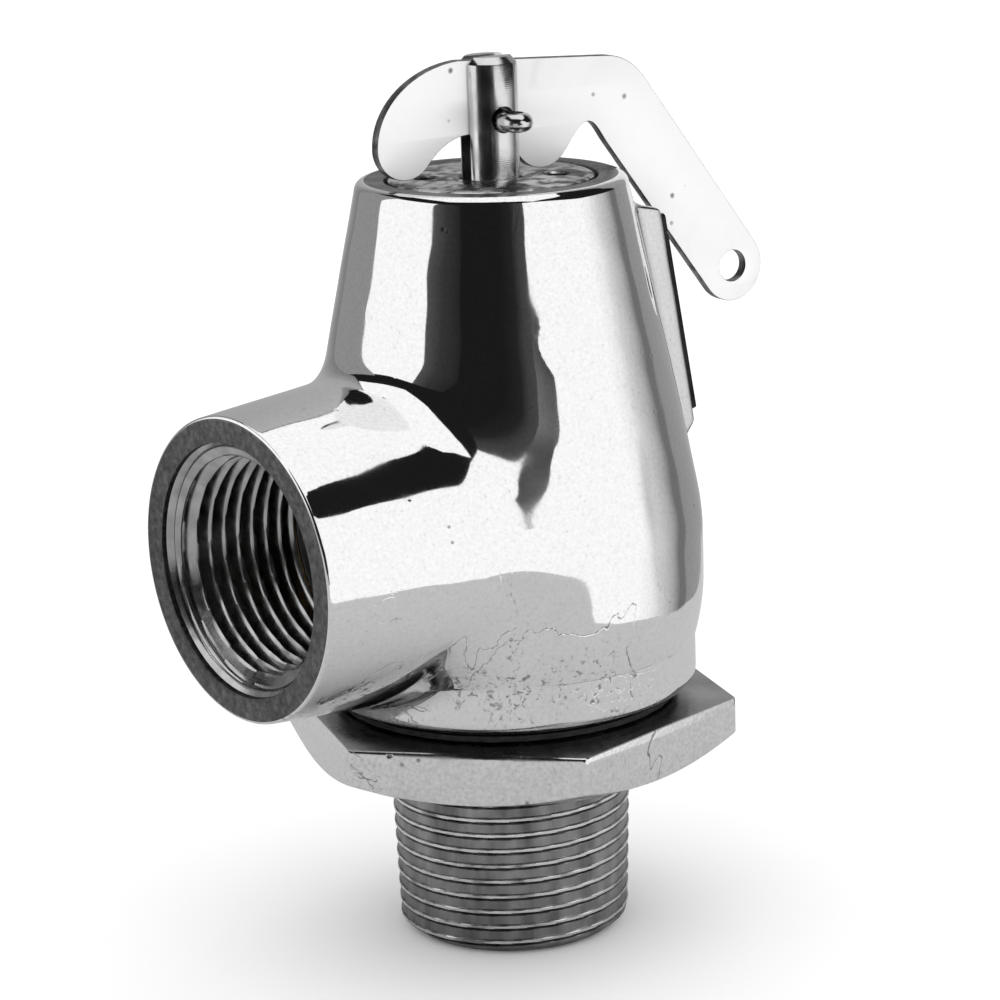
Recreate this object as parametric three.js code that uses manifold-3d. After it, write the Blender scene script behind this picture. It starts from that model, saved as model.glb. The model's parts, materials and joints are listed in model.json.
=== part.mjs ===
// Pressure relief valve, 3/4 inch male pipe-thread inlet and 3/4 inch female side outlet.
// Millimetres. +Z runs up the spindle axis, the origin is the centre of the inlet end,
// and the outlet looks along -X.

import * as THREE from 'three';
import { mergeVertices } from 'three/addons/utils/BufferGeometryUtils.js';
import Module from 'manifold-3d';

const wasm = await Module();
wasm.setup();

// ---------- driving dimensions ----------

const INCH = 25.4;
const GAP = 0.3;                       // clearance kept between neighbouring pieces

const THREAD_PITCH = INCH / 14;        // 14 threads to the inch
const THREAD_DEPTH = 1.4;
const THREAD_TAPER = 1 / 32;           // taper on the radius
const THREAD_SMALL_R = 13.0;           // crest radius at the small end of the male thread
const THREAD_LENGTH = 20.2;

const HEX_FLATS = 45;
const HEX_BOTTOM = 20.9;
const HEX_TOP = 26.95;
const HEX_TURN = 9;                    // degrees from the outlet plane

const BODY_BOTTOM = 28.15;
const BODY_TOP = 85.6;
const SKIRT_R = 21.3;                  // straight band round the foot of the body
const BELLY_R = 22.35;                 // widest radius, at the outlet's height
const BELLY_LOW = 40.5;
const BELLY_HIGH = 45.8;
const CONE_BREAK = [19.28, 64.2];      // radius and height where the taper steepens slightly
const RIM_R = 1.1;                     // rounding of the top rim
const RIM_CENTRE_R = 13.86;
const BODY_THREAD_R = 17;              // plain bore that stands for the body's thread
const BODY_THREAD_TOP = 36.5;
const BOWL_R = 16.6;
const BOWL_TOP = 60;
const CHAMBER_R = 12.3;                // spring chamber
const CHAMBER_TOP = 77.6;
const PLUG_R = 11.35;                  // compression screw
const PLUG_BOTTOM = 79.6;

const OUTLET_Z = 48.4;
const OUTLET_LENGTH = 36.3;            // from the spindle axis to the outlet face
const OUTLET_R = 16.5;
const OUTLET_ROOT_R = 17.72;           // the barrel is drafted, so it is thicker at the body
const OUTLET_MOUTH_R = 13.65;
const OUTLET_SOCKET_DEPTH = 17;
const OUTLET_RECESS_DEPTH = 0.7;       // plain step in front of the thread
const OUTLET_PASSAGE_R = 10.8;

const PAD_HALF_WIDTH = 8;
const PAD_LOW = new THREE.Vector2(22.2, 56);       // x and z of the pad face's lower edge
const PAD_HIGH = new THREE.Vector2(17.6, 80.6);    // and of its upper edge
const PLATE_THICKNESS = 0.6;
const PIN_SHANK_R = 1.05;              // hole for a drive pin

const SEAT_Z = 44.5;
const NOZZLE_R = 7;
const INLET_BORE_R = 9.6;

const SPINDLE_R = 3.175;
const SPINDLE_TOP = 98.7;
const SPINDLE_BOTTOM = 50;
const SLOT_BOTTOM = 84.2;
const SLOT_WIDTH = 1.9;
const PIN_Z = 92;
const PIN_HOLE_R = 1.45;               // cross hole for the cotter pin

const LEVER_THICKNESS = 1.3;
const LEVER_TURN = -8;                 // degrees from +X, seen from above
const LEVER_TAIL = { x: 31.5, y: -20.15, r: 4.05 };
const LEVER_TAIL_HOLE_R = 1.78;

const CUP_R = 11.7;                    // disc holder, sliding in its guide
const INSERT_R = 8.6;
const INSERT_HIGH = 46.9;
const SCREW_HOLE_R = 2.3;              // clearance for the insert screw
const CLIP_LOW = 52.2;
const CLIP_HIGH = 52.8;
const CLIP_GROOVE_R = 2.5;
const WASHER_Z = 53.6;                 // underside of the lower spring washer
const WASHER_THICKNESS = 1.6;
const SPRING_LOW = 55.5;
const SPRING_HIGH = 77.5;
const SPRING_MEAN_R = 8.2;
const WIRE_R = 1.1;

const radians = THREE.MathUtils.degToRad;

// ---------- materials ----------

function metal(color, roughness) {
  return new THREE.MeshStandardMaterial({ color, roughness, metalness: 1 });
}

const CHROME = metal(0xd9dadb, 0.08);
const TURNED_CHROME = metal(0xb9babc, 0.28);
const STEEL = metal(0xc4c4c2, 0.25);
const STAMPED_STEEL = metal(0xe2e2e0, 0.42);
const SPRING_STEEL = metal(0x77787a, 0.35);
const BRONZE = metal(0xb58a54, 0.4);
const BLACK_PLATE = metal(0x1c1c1e, 0.4);
const SEAT_RUBBER = new THREE.MeshStandardMaterial({ color: 0x202020, roughness: 0.8, metalness: 0 });
const GASKET_FIBRE = new THREE.MeshStandardMaterial({ color: 0x3b3936, roughness: 0.85, metalness: 0 });

// ---------- solids ----------

// Reads a closed geometry into a solid, with the faces turned outwards.
function solid(geometry) {
  const plain = geometry.clone();
  plain.deleteAttribute('normal');
  plain.deleteAttribute('uv');
  const merged = mergeVertices(plain, 1e-5);
  const position = merged.getAttribute('position').array;
  const triangles = [];
  let volume = 0;
  const index = merged.index.array;
  const corner = (i) => new THREE.Vector3().fromArray(position, 3 * i);
  for (let i = 0; i < index.length; i += 3) {
    const [a, b, c] = [index[i], index[i + 1], index[i + 2]];
    if (a === b || b === c || c === a) continue;
    triangles.push(a, b, c);
    volume += corner(a).dot(corner(b).cross(corner(c)));
  }
  if (volume < 0) triangles.reverse();
  return new wasm.Manifold(new wasm.Mesh({
    numProp: 3,
    vertProperties: Float32Array.from(position),
    triVerts: Uint32Array.from(triangles),
  }));
}

function meshOf(name, body, material) {
  const { vertProperties, triVerts } = body.getMesh();
  const geometry = new THREE.BufferGeometry();
  geometry.setAttribute('position', new THREE.BufferAttribute(vertProperties, 3));
  geometry.setIndex(new THREE.BufferAttribute(triVerts, 1));
  geometry.computeVertexNormals();
  const mesh = new THREE.Mesh(geometry, material);
  mesh.name = name;
  return mesh;
}

// Turns a closed outline of [radius, height] points about the Z axis.
function revolve(outline, segments = 32) {
  const points = [...outline, outline[0]].map(([r, z]) => new THREE.Vector2(r, z));
  return solid(new THREE.LatheGeometry(points, segments).rotateX(Math.PI / 2));
}

function rod(radius, low, high, segments = 20) {
  const geometry = new THREE.CylinderGeometry(radius, radius, high - low, segments);
  return solid(geometry.rotateX(Math.PI / 2).translate(0, 0, (low + high) / 2));
}

function block(low, high) {
  const size = new THREE.Vector3().subVectors(high, low);
  const centre = new THREE.Vector3().addVectors(low, high).multiplyScalar(0.5);
  return solid(new THREE.BoxGeometry(size.x, size.y, size.z).translate(centre.x, centre.y, centre.z));
}

// Points of a circular arc in an outline, both ends included; angles in degrees.
function arc(r, z, radius, from, to, steps) {
  const points = [];
  for (let i = 0; i <= steps; i += 1) {
    const angle = radians(THREE.MathUtils.lerp(from, to, i / steps));
    points.push([r + radius * Math.cos(angle), z + radius * Math.sin(angle)]);
  }
  return points;
}

// ---------- inlet base: pipe thread, hexagon, body thread and nozzle seat ----------

// Zigzag outline of a tapered male thread, from the end up.
function maleThread() {
  const points = [[THREAD_SMALL_R - THREAD_DEPTH, 0]];
  const turns = Math.floor(THREAD_LENGTH / THREAD_PITCH);
  for (let i = 0; i < turns; i += 1) {
    const z = (i + 0.5) * THREAD_PITCH;
    const crest = THREAD_SMALL_R + z * THREAD_TAPER;
    points.push([crest, z], [crest - THREAD_DEPTH, z + THREAD_PITCH / 2]);
  }
  return points;
}

function inletBase() {
  const neckR = 12.9;
  const nozzleRootR = 10.4;
  const turned = revolve([
    ...maleThread(),
    [neckR, THREAD_LENGTH],
    [neckR, HEX_BOTTOM + 1],
    [BODY_THREAD_R - 1.5, HEX_BOTTOM + 1],
    [BODY_THREAD_R - 1.5, BODY_BOTTOM],
    [BODY_THREAD_R - GAP, BODY_BOTTOM + 0.8],
    [BODY_THREAD_R - GAP, BODY_THREAD_TOP - 1.7],
    [BODY_THREAD_R - 1.2, BODY_THREAD_TOP - 0.9],
    [nozzleRootR, BODY_THREAD_TOP - 0.5],
    [nozzleRootR - 0.4, 41],
    [NOZZLE_R + 1.2, SEAT_Z - 0.4],
    [NOZZLE_R + 1, SEAT_Z],
    [NOZZLE_R, SEAT_Z],
    [NOZZLE_R, 30],
    [INLET_BORE_R, 24],
    [INLET_BORE_R, 0],
  ], 36);
  return turned.add(hexagon());
}

// The hexagon with its lower corners turned off at 30 degrees.
function hexagon() {
  const cornerR = HEX_FLATS / Math.sqrt(3);
  const height = HEX_TOP - HEX_BOTTOM;
  const prism = new THREE.CylinderGeometry(cornerR, cornerR, height, 6);
  prism.rotateX(Math.PI / 2).rotateZ(radians(HEX_TURN + 30));
  prism.translate(0, 0, HEX_BOTTOM + height / 2);
  const chamfer = revolve([
    [INLET_BORE_R + 1, HEX_BOTTOM],
    [HEX_FLATS / 2 - 0.6, HEX_BOTTOM],
    [cornerR + 0.2, HEX_BOTTOM + 2.1],
    [cornerR + 0.2, HEX_TOP],
    [INLET_BORE_R + 1, HEX_TOP],
  ], 48);
  return solid(prism).intersect(chamfer);
}

function baseGasket() {
  const innerR = BODY_THREAD_R - 0.6;
  const outerR = SKIRT_R - 2.2;
  return revolve([
    [innerR, HEX_TOP + GAP],
    [outerR, HEX_TOP + GAP],
    [outerR, BODY_BOTTOM - GAP],
    [innerR, BODY_BOTTOM - GAP],
  ]);
}

// ---------- body casting ----------

function bodyOutside() {
  const footR = 1.2;
  const footZ = BODY_BOTTOM + 0.45;
  const lowerR = 22.3;
  const upperR = 22.6;
  const skirtLean = -17.2;             // degrees from upright, below and above the belly
  const coneLean = 11.5;
  return revolve([
    [0, BODY_BOTTOM],
    [SKIRT_R - 2, BODY_BOTTOM],
    [SKIRT_R - 1.9, BODY_BOTTOM + 0.3],
    ...arc(SKIRT_R - footR, footZ + footR, footR, -90, 0, 3),
    ...arc(BELLY_R - lowerR, BELLY_LOW, lowerR, skirtLean, 0, 4),
    ...arc(BELLY_R - upperR, BELLY_HIGH, upperR, 0, coneLean, 3),
    CONE_BREAK,
    ...arc(RIM_CENTRE_R, BODY_TOP - RIM_R, RIM_R, coneLean, 90, 4),
    [0, BODY_TOP],
  ], 48);
}

// Lays a solid that was built along +Z so that it runs from the axis out to the outlet face.
function towardsOutlet(body) {
  return body.rotate([0, -90, 0]).translate([0, 0, OUTLET_Z]);
}

function outletBarrel() {
  const root = 12;                     // from the spindle axis, buried in the body
  const filletEnd = 21.5;
  const filletR = OUTLET_ROOT_R + 0.7;
  const edge = 0.3;
  return towardsOutlet(revolve([
    [0, root],
    [filletR, root],
    [filletR, filletEnd - 2.9],
    [OUTLET_ROOT_R + 0.2, filletEnd - 1],
    [OUTLET_ROOT_R, filletEnd],
    [OUTLET_R, OUTLET_LENGTH - edge],
    [OUTLET_R - edge, OUTLET_LENGTH],
    [0, OUTLET_LENGTH],
  ], 40));
}

// The threaded socket and the passage behind it, as the space that is cut away.
function outletSocket() {
  const bottom = OUTLET_LENGTH - OUTLET_SOCKET_DEPTH;
  const points = [[0, 0], [OUTLET_PASSAGE_R, 0], [OUTLET_PASSAGE_R, bottom]];
  const crestR = 11.6;                 // of the outermost turn
  const turns = 7;
  const lead = 0.6;                    // chamfer that leads into the thread
  for (let i = 0; i < turns; i += 1) {
    const x = bottom + (i + 1) * THREAD_PITCH;
    const root = crestR + THREAD_DEPTH - (turns - 1 - i) * THREAD_PITCH * THREAD_TAPER;
    points.push([root - THREAD_DEPTH, x], [root, x + THREAD_PITCH / 2]);
  }
  points.push([OUTLET_MOUTH_R - lead, OUTLET_LENGTH - OUTLET_RECESS_DEPTH - lead]);
  points.push([OUTLET_MOUTH_R, OUTLET_LENGTH - OUTLET_RECESS_DEPTH]);
  points.push([OUTLET_MOUTH_R, OUTLET_LENGTH + 1]);
  points.push([0, OUTLET_LENGTH + 1]);
  return towardsOutlet(revolve(points, 36));
}

function bodyInside() {
  return revolve([
    [0, BODY_BOTTOM - 1],
    [BODY_THREAD_R, BODY_BOTTOM - 1],
    [BODY_THREAD_R, BODY_THREAD_TOP],
    [BOWL_R, BODY_THREAD_TOP + 0.4],
    [BOWL_R, BOWL_TOP],
    [CHAMBER_R, BOWL_TOP],
    [CHAMBER_R, CHAMBER_TOP],
    [PLUG_R + GAP, CHAMBER_TOP + 0.8],
    [PLUG_R + GAP, BODY_TOP + 1],
    [0, BODY_TOP + 1],
  ], 40);
}

// Angle by which the nameplate pad leans in towards the axis.
const PAD_LEAN = Math.atan2(PAD_LOW.x - PAD_HIGH.x, PAD_HIGH.y - PAD_LOW.y);
const PAD_HEIGHT = PAD_LOW.distanceTo(PAD_HIGH);
const PIN_INSET = 3;                   // of a drive pin from the pad's end
const PIN_HEIGHTS = [PAD_HEIGHT / 2 - PIN_INSET, PIN_INSET - PAD_HEIGHT / 2];

// Places a geometry drawn around the pad face's middle, its +X being the face's normal.
function ontoPad(geometry) {
  const middle = new THREE.Vector2().addVectors(PAD_LOW, PAD_HIGH).multiplyScalar(0.5);
  return geometry.rotateY(-PAD_LEAN).translate(middle.x, 0, middle.y);
}

function nameplatePad() {
  const depth = 9;
  const box = new THREE.BoxGeometry(depth, 2 * PAD_HALF_WIDTH, PAD_HEIGHT);
  return solid(ontoPad(box.translate(-depth / 2, 0, 0)));
}

// Blind hole in the pad that holds a drive pin, at a height along the pad from its middle.
function padHole(height) {
  const length = 5;
  const middle = -0.6;
  const hole = new THREE.CylinderGeometry(PIN_SHANK_R, PIN_SHANK_R, length, 16);
  return solid(ontoPad(hole.rotateZ(Math.PI / 2).translate(middle, 0, height)));
}

function bodyCasting() {
  let body = bodyOutside().add(outletBarrel()).add(nameplatePad());
  body = body.subtract(bodyInside()).subtract(outletSocket());
  for (const height of PIN_HEIGHTS) {
    body = body.subtract(padHole(height));
  }
  return body;
}

// ---------- nameplate and its drive pins ----------

function roundHole(x, y, radius) {
  const hole = new THREE.Path();
  hole.absarc(x, y, radius, 0, Math.PI * 2, true);
  return hole;
}

function nameplate() {
  const endMargin = 0.9;
  const halfWidth = PAD_HALF_WIDTH - GAP;
  const halfHeight = PAD_HEIGHT / 2 - endMargin;
  const corner = 0.4;
  const outline = new THREE.Shape();
  outline.moveTo(-halfWidth + corner, -halfHeight);
  outline.lineTo(halfWidth - corner, -halfHeight);
  outline.absarc(halfWidth - corner, -halfHeight + corner, corner, -Math.PI / 2, 0);
  outline.absarc(halfWidth - corner, halfHeight - corner, corner, 0, Math.PI / 2);
  outline.absarc(-halfWidth + corner, halfHeight - corner, corner, Math.PI / 2, Math.PI);
  outline.absarc(-halfWidth + corner, -halfHeight + corner, corner, Math.PI, Math.PI * 1.5);
  for (const height of PIN_HEIGHTS) {
    outline.holes.push(roundHole(0, height, PIN_SHANK_R));
  }
  const plate = new THREE.ExtrudeGeometry(outline, {
    depth: PLATE_THICKNESS, bevelEnabled: false, curveSegments: 4,
  });
  plate.rotateY(Math.PI / 2).rotateX(Math.PI / 2);
  return solid(ontoPad(plate.translate(GAP, 0, 0)));
}

function drivePin(height) {
  const headLow = GAP + PLATE_THICKNESS + GAP;
  const shank = PIN_SHANK_R - GAP;
  const domeR = 1.9;
  const end = -2.4;
  const head = arc(0, headLow - 0.9, domeR, 28, 90, 4);
  const outline = [[0, end], [shank - 0.25, end], [shank, end + 0.5], [shank, headLow], ...head];
  const points = outline.map(([r, x]) => new THREE.Vector2(r, x));
  const pin = new THREE.LatheGeometry(points, 16).rotateZ(-Math.PI / 2);
  return solid(ontoPad(pin.translate(0, 0, height)));
}

// ---------- compression screw, spring washers and spring ----------

function compressionScrew() {
  let screw = revolve([
    [SPINDLE_R + GAP, PLUG_BOTTOM],
    [PLUG_R - 0.8, PLUG_BOTTOM],
    [PLUG_R, PLUG_BOTTOM + 0.8],
    [PLUG_R, BODY_TOP - 0.5],
    [PLUG_R - 0.4, BODY_TOP],
    [SPINDLE_R + GAP, BODY_TOP],
  ]);
  const spannerRadius = 7.2;
  const spannerTurn = radians(-39);
  const holeR = 1.35;
  const holeDepth = 3;
  for (const side of [-1, 1]) {
    const x = side * spannerRadius * Math.cos(spannerTurn);
    const y = side * spannerRadius * Math.sin(spannerTurn);
    const hole = rod(holeR, BODY_TOP - holeDepth, BODY_TOP + 1).translate([x, y, 0]);
    screw = screw.subtract(hole);
  }
  return screw;
}

function upperSpringWasher() {
  return revolve([
    [SPINDLE_R + GAP, SPRING_HIGH - WASHER_THICKNESS],
    [SPRING_MEAN_R - WIRE_R - GAP, SPRING_HIGH - WASHER_THICKNESS],
    [SPRING_MEAN_R - WIRE_R - GAP, SPRING_HIGH + GAP],
    [CHAMBER_R - 1.9, SPRING_HIGH + GAP],
    [CHAMBER_R - 1.9, PLUG_BOTTOM - GAP],
    [SPINDLE_R + GAP, PLUG_BOTTOM - GAP],
  ]);
}

function lowerSpringWasher() {
  return revolve([
    [SPINDLE_R + GAP, WASHER_Z],
    [CUP_R - 1.6, WASHER_Z],
    [CUP_R - 1.6, SPRING_LOW - GAP],
    [SPRING_MEAN_R - WIRE_R - GAP, SPRING_LOW - GAP],
    [SPRING_MEAN_R - WIRE_R - GAP, SPRING_LOW + WASHER_THICKNESS],
    [SPINDLE_R + GAP, SPRING_LOW + WASHER_THICKNESS],
  ]);
}

// Centre line of the spring: one closed turn at each end, open turns between.
class SpringPath extends THREE.Curve {
  getPoint(t, target = new THREE.Vector3()) {
    const turns = 6;
    const endPitch = 2.35;
    const turn = t * turns;
    const rise = SPRING_HIGH - SPRING_LOW - 2 * WIRE_R;
    const openPitch = (rise - 2 * endPitch) / (turns - 2);
    let z = SPRING_LOW + WIRE_R + Math.min(turn, 1) * endPitch;
    z += THREE.MathUtils.clamp(turn - 1, 0, turns - 2) * openPitch;
    z += Math.max(turn - turns + 1, 0) * endPitch;
    const angle = turn * 2 * Math.PI;
    return target.set(SPRING_MEAN_R * Math.cos(angle), SPRING_MEAN_R * Math.sin(angle), z);
  }
}

function circleShape(radius, sides) {
  const points = [];
  for (let i = 0; i < sides; i += 1) {
    const angle = (i / sides) * 2 * Math.PI;
    points.push(new THREE.Vector2(radius * Math.cos(angle), radius * Math.sin(angle)));
  }
  return new THREE.Shape(points);
}

function spring() {
  return solid(new THREE.ExtrudeGeometry(circleShape(WIRE_R, 8), {
    steps: 90, extrudePath: new SpringPath(), bevelEnabled: false,
  }));
}

// ---------- disc group ----------

function discGuide() {
  const bottom = BOWL_TOP - 4.3;
  return revolve([
    [CUP_R + GAP, bottom],
    [BOWL_R - GAP, bottom],
    [BOWL_R - GAP, BOWL_TOP - GAP],
    [CUP_R + GAP, BOWL_TOP - GAP],
  ]);
}

const INSERT_LOW = SEAT_Z + GAP;

// Cup that slides in the guide: insert recess below, spindle socket and washer step inside.
function discHolder() {
  const recessLow = 45.5;
  const socketR = 6.4;
  const skirtTop = 61.5;
  const wall = 1.2;
  return revolve([
    [SCREW_HOLE_R, INSERT_HIGH + GAP],
    [INSERT_R + GAP, INSERT_HIGH + GAP],
    [INSERT_R + GAP, recessLow],
    [10.3, recessLow],
    [10.6, recessLow + 0.4],
    [10.6, 52],
    [CUP_R, 53.4],
    [CUP_R, skirtTop],
    [CUP_R - wall, skirtTop],
    [CUP_R - wall, WASHER_Z - GAP],
    [socketR, WASHER_Z - GAP],
    [socketR, SPINDLE_BOTTOM + 1.6],
    [SPINDLE_R + GAP, SPINDLE_BOTTOM + 1.6],
    [SCREW_HOLE_R, SPINDLE_BOTTOM - GAP],
  ]);
}

function seatInsert() {
  return revolve([
    [SCREW_HOLE_R, INSERT_LOW],
    [INSERT_R, INSERT_LOW],
    [INSERT_R, INSERT_HIGH],
    [SCREW_HOLE_R, INSERT_HIGH],
  ]);
}

const RETAINER_HIGH = INSERT_LOW - GAP;
const RETAINER_LOW = RETAINER_HIGH - 0.9;

function insertRetainer() {
  const edgeR = 5.6;
  return revolve([
    [SCREW_HOLE_R, RETAINER_LOW],
    [edgeR - 0.4, RETAINER_LOW],
    [edgeR, RETAINER_LOW + 0.4],
    [edgeR, RETAINER_HIGH],
    [SCREW_HOLE_R, RETAINER_HIGH],
  ], 24);
}

function insertScrew() {
  const headHigh = RETAINER_LOW - GAP;
  const headR = 3.4;
  const shankR = SCREW_HOLE_R - GAP;
  const head = revolve([
    [0, headHigh - 1.8],
    [headR - 0.8, headHigh - 1.8],
    [headR, headHigh - 1.1],
    [headR, headHigh],
    [shankR, headHigh],
    [shankR, SPINDLE_BOTTOM - 1.2],
    [0, SPINDLE_BOTTOM - 1.2],
  ], 20);
  const slot = block(
    new THREE.Vector3(-4, -0.4, headHigh - 2.4),
    new THREE.Vector3(4, 0.4, headHigh - 1.1),
  );
  return head.subtract(slot);
}

// ---------- spindle, clip and cotter pin ----------

// Turns a solid from the drawing plane (X right, Z up) into the lever's plane.
function ontoLever(body) {
  return body.rotate([0, 0, LEVER_TURN]);
}

function spindle() {
  const turned = revolve([
    [0, SPINDLE_BOTTOM],
    [1.2, SPINDLE_BOTTOM + 0.2],
    [SPINDLE_R, SPINDLE_BOTTOM + 1.7],
    [SPINDLE_R, CLIP_LOW - 0.2],
    [CLIP_GROOVE_R, CLIP_LOW - 0.2],
    [CLIP_GROOVE_R, CLIP_HIGH + 0.2],
    [SPINDLE_R, CLIP_HIGH + 0.2],
    [SPINDLE_R, SPINDLE_TOP - 0.8],
    [SPINDLE_R - 0.75, SPINDLE_TOP],
    [0, SPINDLE_TOP],
  ], 28);
  const slot = block(
    new THREE.Vector3(-5, -SLOT_WIDTH / 2, SLOT_BOTTOM),
    new THREE.Vector3(5, SLOT_WIDTH / 2, SPINDLE_TOP + 1),
  );
  const hole = rod(PIN_HOLE_R, -5, 5).rotate([90, 0, 0]).translate([0, 0, PIN_Z]);
  return ontoLever(turned.subtract(slot).subtract(hole));
}

// Open retaining ring in the spindle's lower groove.
function spindleClip() {
  const innerR = CLIP_GROOVE_R + GAP;
  const outerR = 5.2;
  const ring = revolve([
    [innerR, CLIP_LOW],
    [outerR, CLIP_LOW],
    [outerR, CLIP_HIGH],
    [innerR, CLIP_HIGH],
  ], 24);
  const mouth = block(
    new THREE.Vector3(0, -1.7, CLIP_LOW - 1),
    new THREE.Vector3(outerR + 1, 1.7, CLIP_HIGH + 1),
  );
  return ring.subtract(mouth);
}

const PIN_WIRE_R = 1.02;

// Half-round wire section, flat side towards the fold.
function halfRound() {
  const outline = new THREE.Shape();
  outline.absarc(0, 0, PIN_WIRE_R, 0, Math.PI);
  outline.closePath();
  return outline;
}

// One wire folded double: bent tails behind the spindle, two legs through it, an eye in front.
function cotterPin() {
  const leg = 0.06;
  const half = [
    [3.1, 5.1], [2.2, 4.7], [1.05, 4.45], [0.3, 3.95], [leg, 3.1], [leg, 2], [leg, 0],
    [leg, -2], [leg, -3.3], [0.32, -3.9], [0.72, -4.6], [0.85, -5.4], [0.62, -6.1],
  ];
  const points = half.map(([x, y]) => new THREE.Vector3(x, y, 0));
  points.push(new THREE.Vector3(0, -6.45, 0));
  for (const [x, y] of [...half].reverse()) {
    points.push(new THREE.Vector3(-x, y, 0));
  }
  const path = new THREE.CatmullRomCurve3(points, false, 'centripetal');
  const wire = new THREE.ExtrudeGeometry(halfRound(), {
    steps: 44, extrudePath: path, bevelEnabled: false, curveSegments: 4,
  });
  return ontoLever(solid(wire).translate([0, 0, PIN_Z]));
}

// ---------- lever ----------

// Outline with the pin hole at the origin, X towards the tail.
function leverOutline() {
  const shape = new THREE.Shape();
  const left = { x: -10.9, y: -2.25, r: 3.45 };
  const right = { x: 6.3, y: -2.5, r: 3.6 };
  const tail = LEVER_TAIL;
  shape.moveTo(left.x - left.r, left.y);
  shape.absarc(left.x, left.y, left.r, Math.PI, radians(-42));
  shape.bezierCurveTo(-6.9, -2.9, -5.2, -1.6, -3, -1.6);
  shape.bezierCurveTo(-1, -1.6, 1.98, -2.75, 3.42, -4.67);
  shape.absarc(right.x, right.y, right.r, radians(217), radians(318));
  shape.bezierCurveTo(10.1, -3.7, 11.1, -1.65, 12.3, -1.65);
  shape.bezierCurveTo(13.3, -1.65, 13.9, -3.1, 14.77, -4.29);
  shape.absarc(tail.x, tail.y, tail.r, radians(216), radians(396));
  shape.lineTo(20, 2.5);
  shape.bezierCurveTo(18.6, 4.3, 17, 5.3, 14.6, 5.4);
  shape.lineTo(-4, 6.5);
  shape.bezierCurveTo(-9.5, 6.2, left.x - left.r, 2.6, left.x - left.r, left.y);
  return shape;
}

function lever() {
  const outline = leverOutline();
  outline.holes.push(roundHole(0, 0, PIN_HOLE_R));
  outline.holes.push(roundHole(LEVER_TAIL.x, LEVER_TAIL.y, LEVER_TAIL_HOLE_R));
  const plate = new THREE.ExtrudeGeometry(outline, {
    depth: LEVER_THICKNESS, bevelEnabled: false, curveSegments: 8,
  });
  plate.translate(0, 0, -LEVER_THICKNESS / 2).rotateX(Math.PI / 2);
  return ontoLever(solid(plate).translate([0, 0, PIN_Z]));
}

// ---------- assembly ----------

const valve = new THREE.Group();
valve.add(
  meshOf('body_casting', bodyCasting(), CHROME),
  meshOf('inlet_base', inletBase(), TURNED_CHROME),
  meshOf('base_gasket', baseGasket(), GASKET_FIBRE),
  meshOf('compression_screw', compressionScrew(), CHROME),
  meshOf('upper_spring_washer', upperSpringWasher(), STEEL),
  meshOf('spring', spring(), SPRING_STEEL),
  meshOf('lower_spring_washer', lowerSpringWasher(), STEEL),
  meshOf('disc_guide', discGuide(), BRONZE),
  meshOf('disc_holder', discHolder(), BRONZE),
  meshOf('seat_insert', seatInsert(), SEAT_RUBBER),
  meshOf('insert_retainer', insertRetainer(), STEEL),
  meshOf('insert_screw', insertScrew(), STEEL),
  meshOf('spindle', spindle(), STEEL),
  meshOf('spindle_clip', spindleClip(), SPRING_STEEL),
  meshOf('cotter_pin', cotterPin(), STEEL),
  meshOf('lever', lever(), STAMPED_STEEL),
  meshOf('nameplate', nameplate(), BLACK_PLATE),
);
PIN_HEIGHTS.forEach((height, i) => {
  valve.add(meshOf(`nameplate_pin_${i + 1}`, drivePin(height), STEEL));
});

export default valve;
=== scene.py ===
"""Looks of the pressure relief valve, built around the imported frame.

Outlines are in millimetres and pieces are scaled to metres when their mesh is made.
+Z runs up the spindle axis and the outlet looks along -X.
"""

import json
import math

import bmesh
import bpy
import numpy as np
from mathutils import Matrix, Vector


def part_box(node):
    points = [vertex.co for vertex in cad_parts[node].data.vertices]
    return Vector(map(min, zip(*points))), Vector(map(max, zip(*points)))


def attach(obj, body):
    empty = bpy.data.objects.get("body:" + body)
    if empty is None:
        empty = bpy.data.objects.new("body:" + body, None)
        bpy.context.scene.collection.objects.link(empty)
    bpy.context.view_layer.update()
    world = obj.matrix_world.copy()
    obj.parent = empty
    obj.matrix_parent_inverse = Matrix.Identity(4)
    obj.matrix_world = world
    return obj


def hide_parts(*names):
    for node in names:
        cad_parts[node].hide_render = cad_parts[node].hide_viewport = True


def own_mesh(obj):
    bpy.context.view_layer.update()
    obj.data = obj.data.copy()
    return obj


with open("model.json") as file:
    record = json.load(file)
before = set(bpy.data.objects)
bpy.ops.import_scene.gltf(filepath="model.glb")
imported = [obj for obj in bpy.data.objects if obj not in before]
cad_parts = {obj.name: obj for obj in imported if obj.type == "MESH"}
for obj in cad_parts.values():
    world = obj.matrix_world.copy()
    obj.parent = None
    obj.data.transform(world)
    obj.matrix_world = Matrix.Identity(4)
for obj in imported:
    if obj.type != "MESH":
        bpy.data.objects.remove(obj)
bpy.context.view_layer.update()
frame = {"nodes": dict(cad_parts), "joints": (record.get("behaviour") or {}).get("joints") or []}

MM = 0.001


# ---------- sizes taken from the frame, in millimetres ----------

def box_mm(node):
    low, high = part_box(node)
    return np.array(low) / MM, np.array(high) / MM


BODY_LOW, BODY_HIGH = box_mm("body_casting")
BASE_HIGH = box_mm("inlet_base")[1]
PLUG_LOW, PLUG_HIGH = box_mm("compression_screw")
SPINDLE_LOW, SPINDLE_HIGH = box_mm("spindle")
SPRING_LOW, SPRING_HIGH = box_mm("spring")

JOINTS = {joint["name"]: joint for joint in frame["joints"]}
LEVER_AXIS = JOINTS["lever_pivot"]["axis"]
LEVER_TURN = math.atan2(LEVER_AXIS[0], -LEVER_AXIS[1])
PIN_Z = JOINTS["lever_pivot"]["pos_m"][2] / MM

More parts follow.
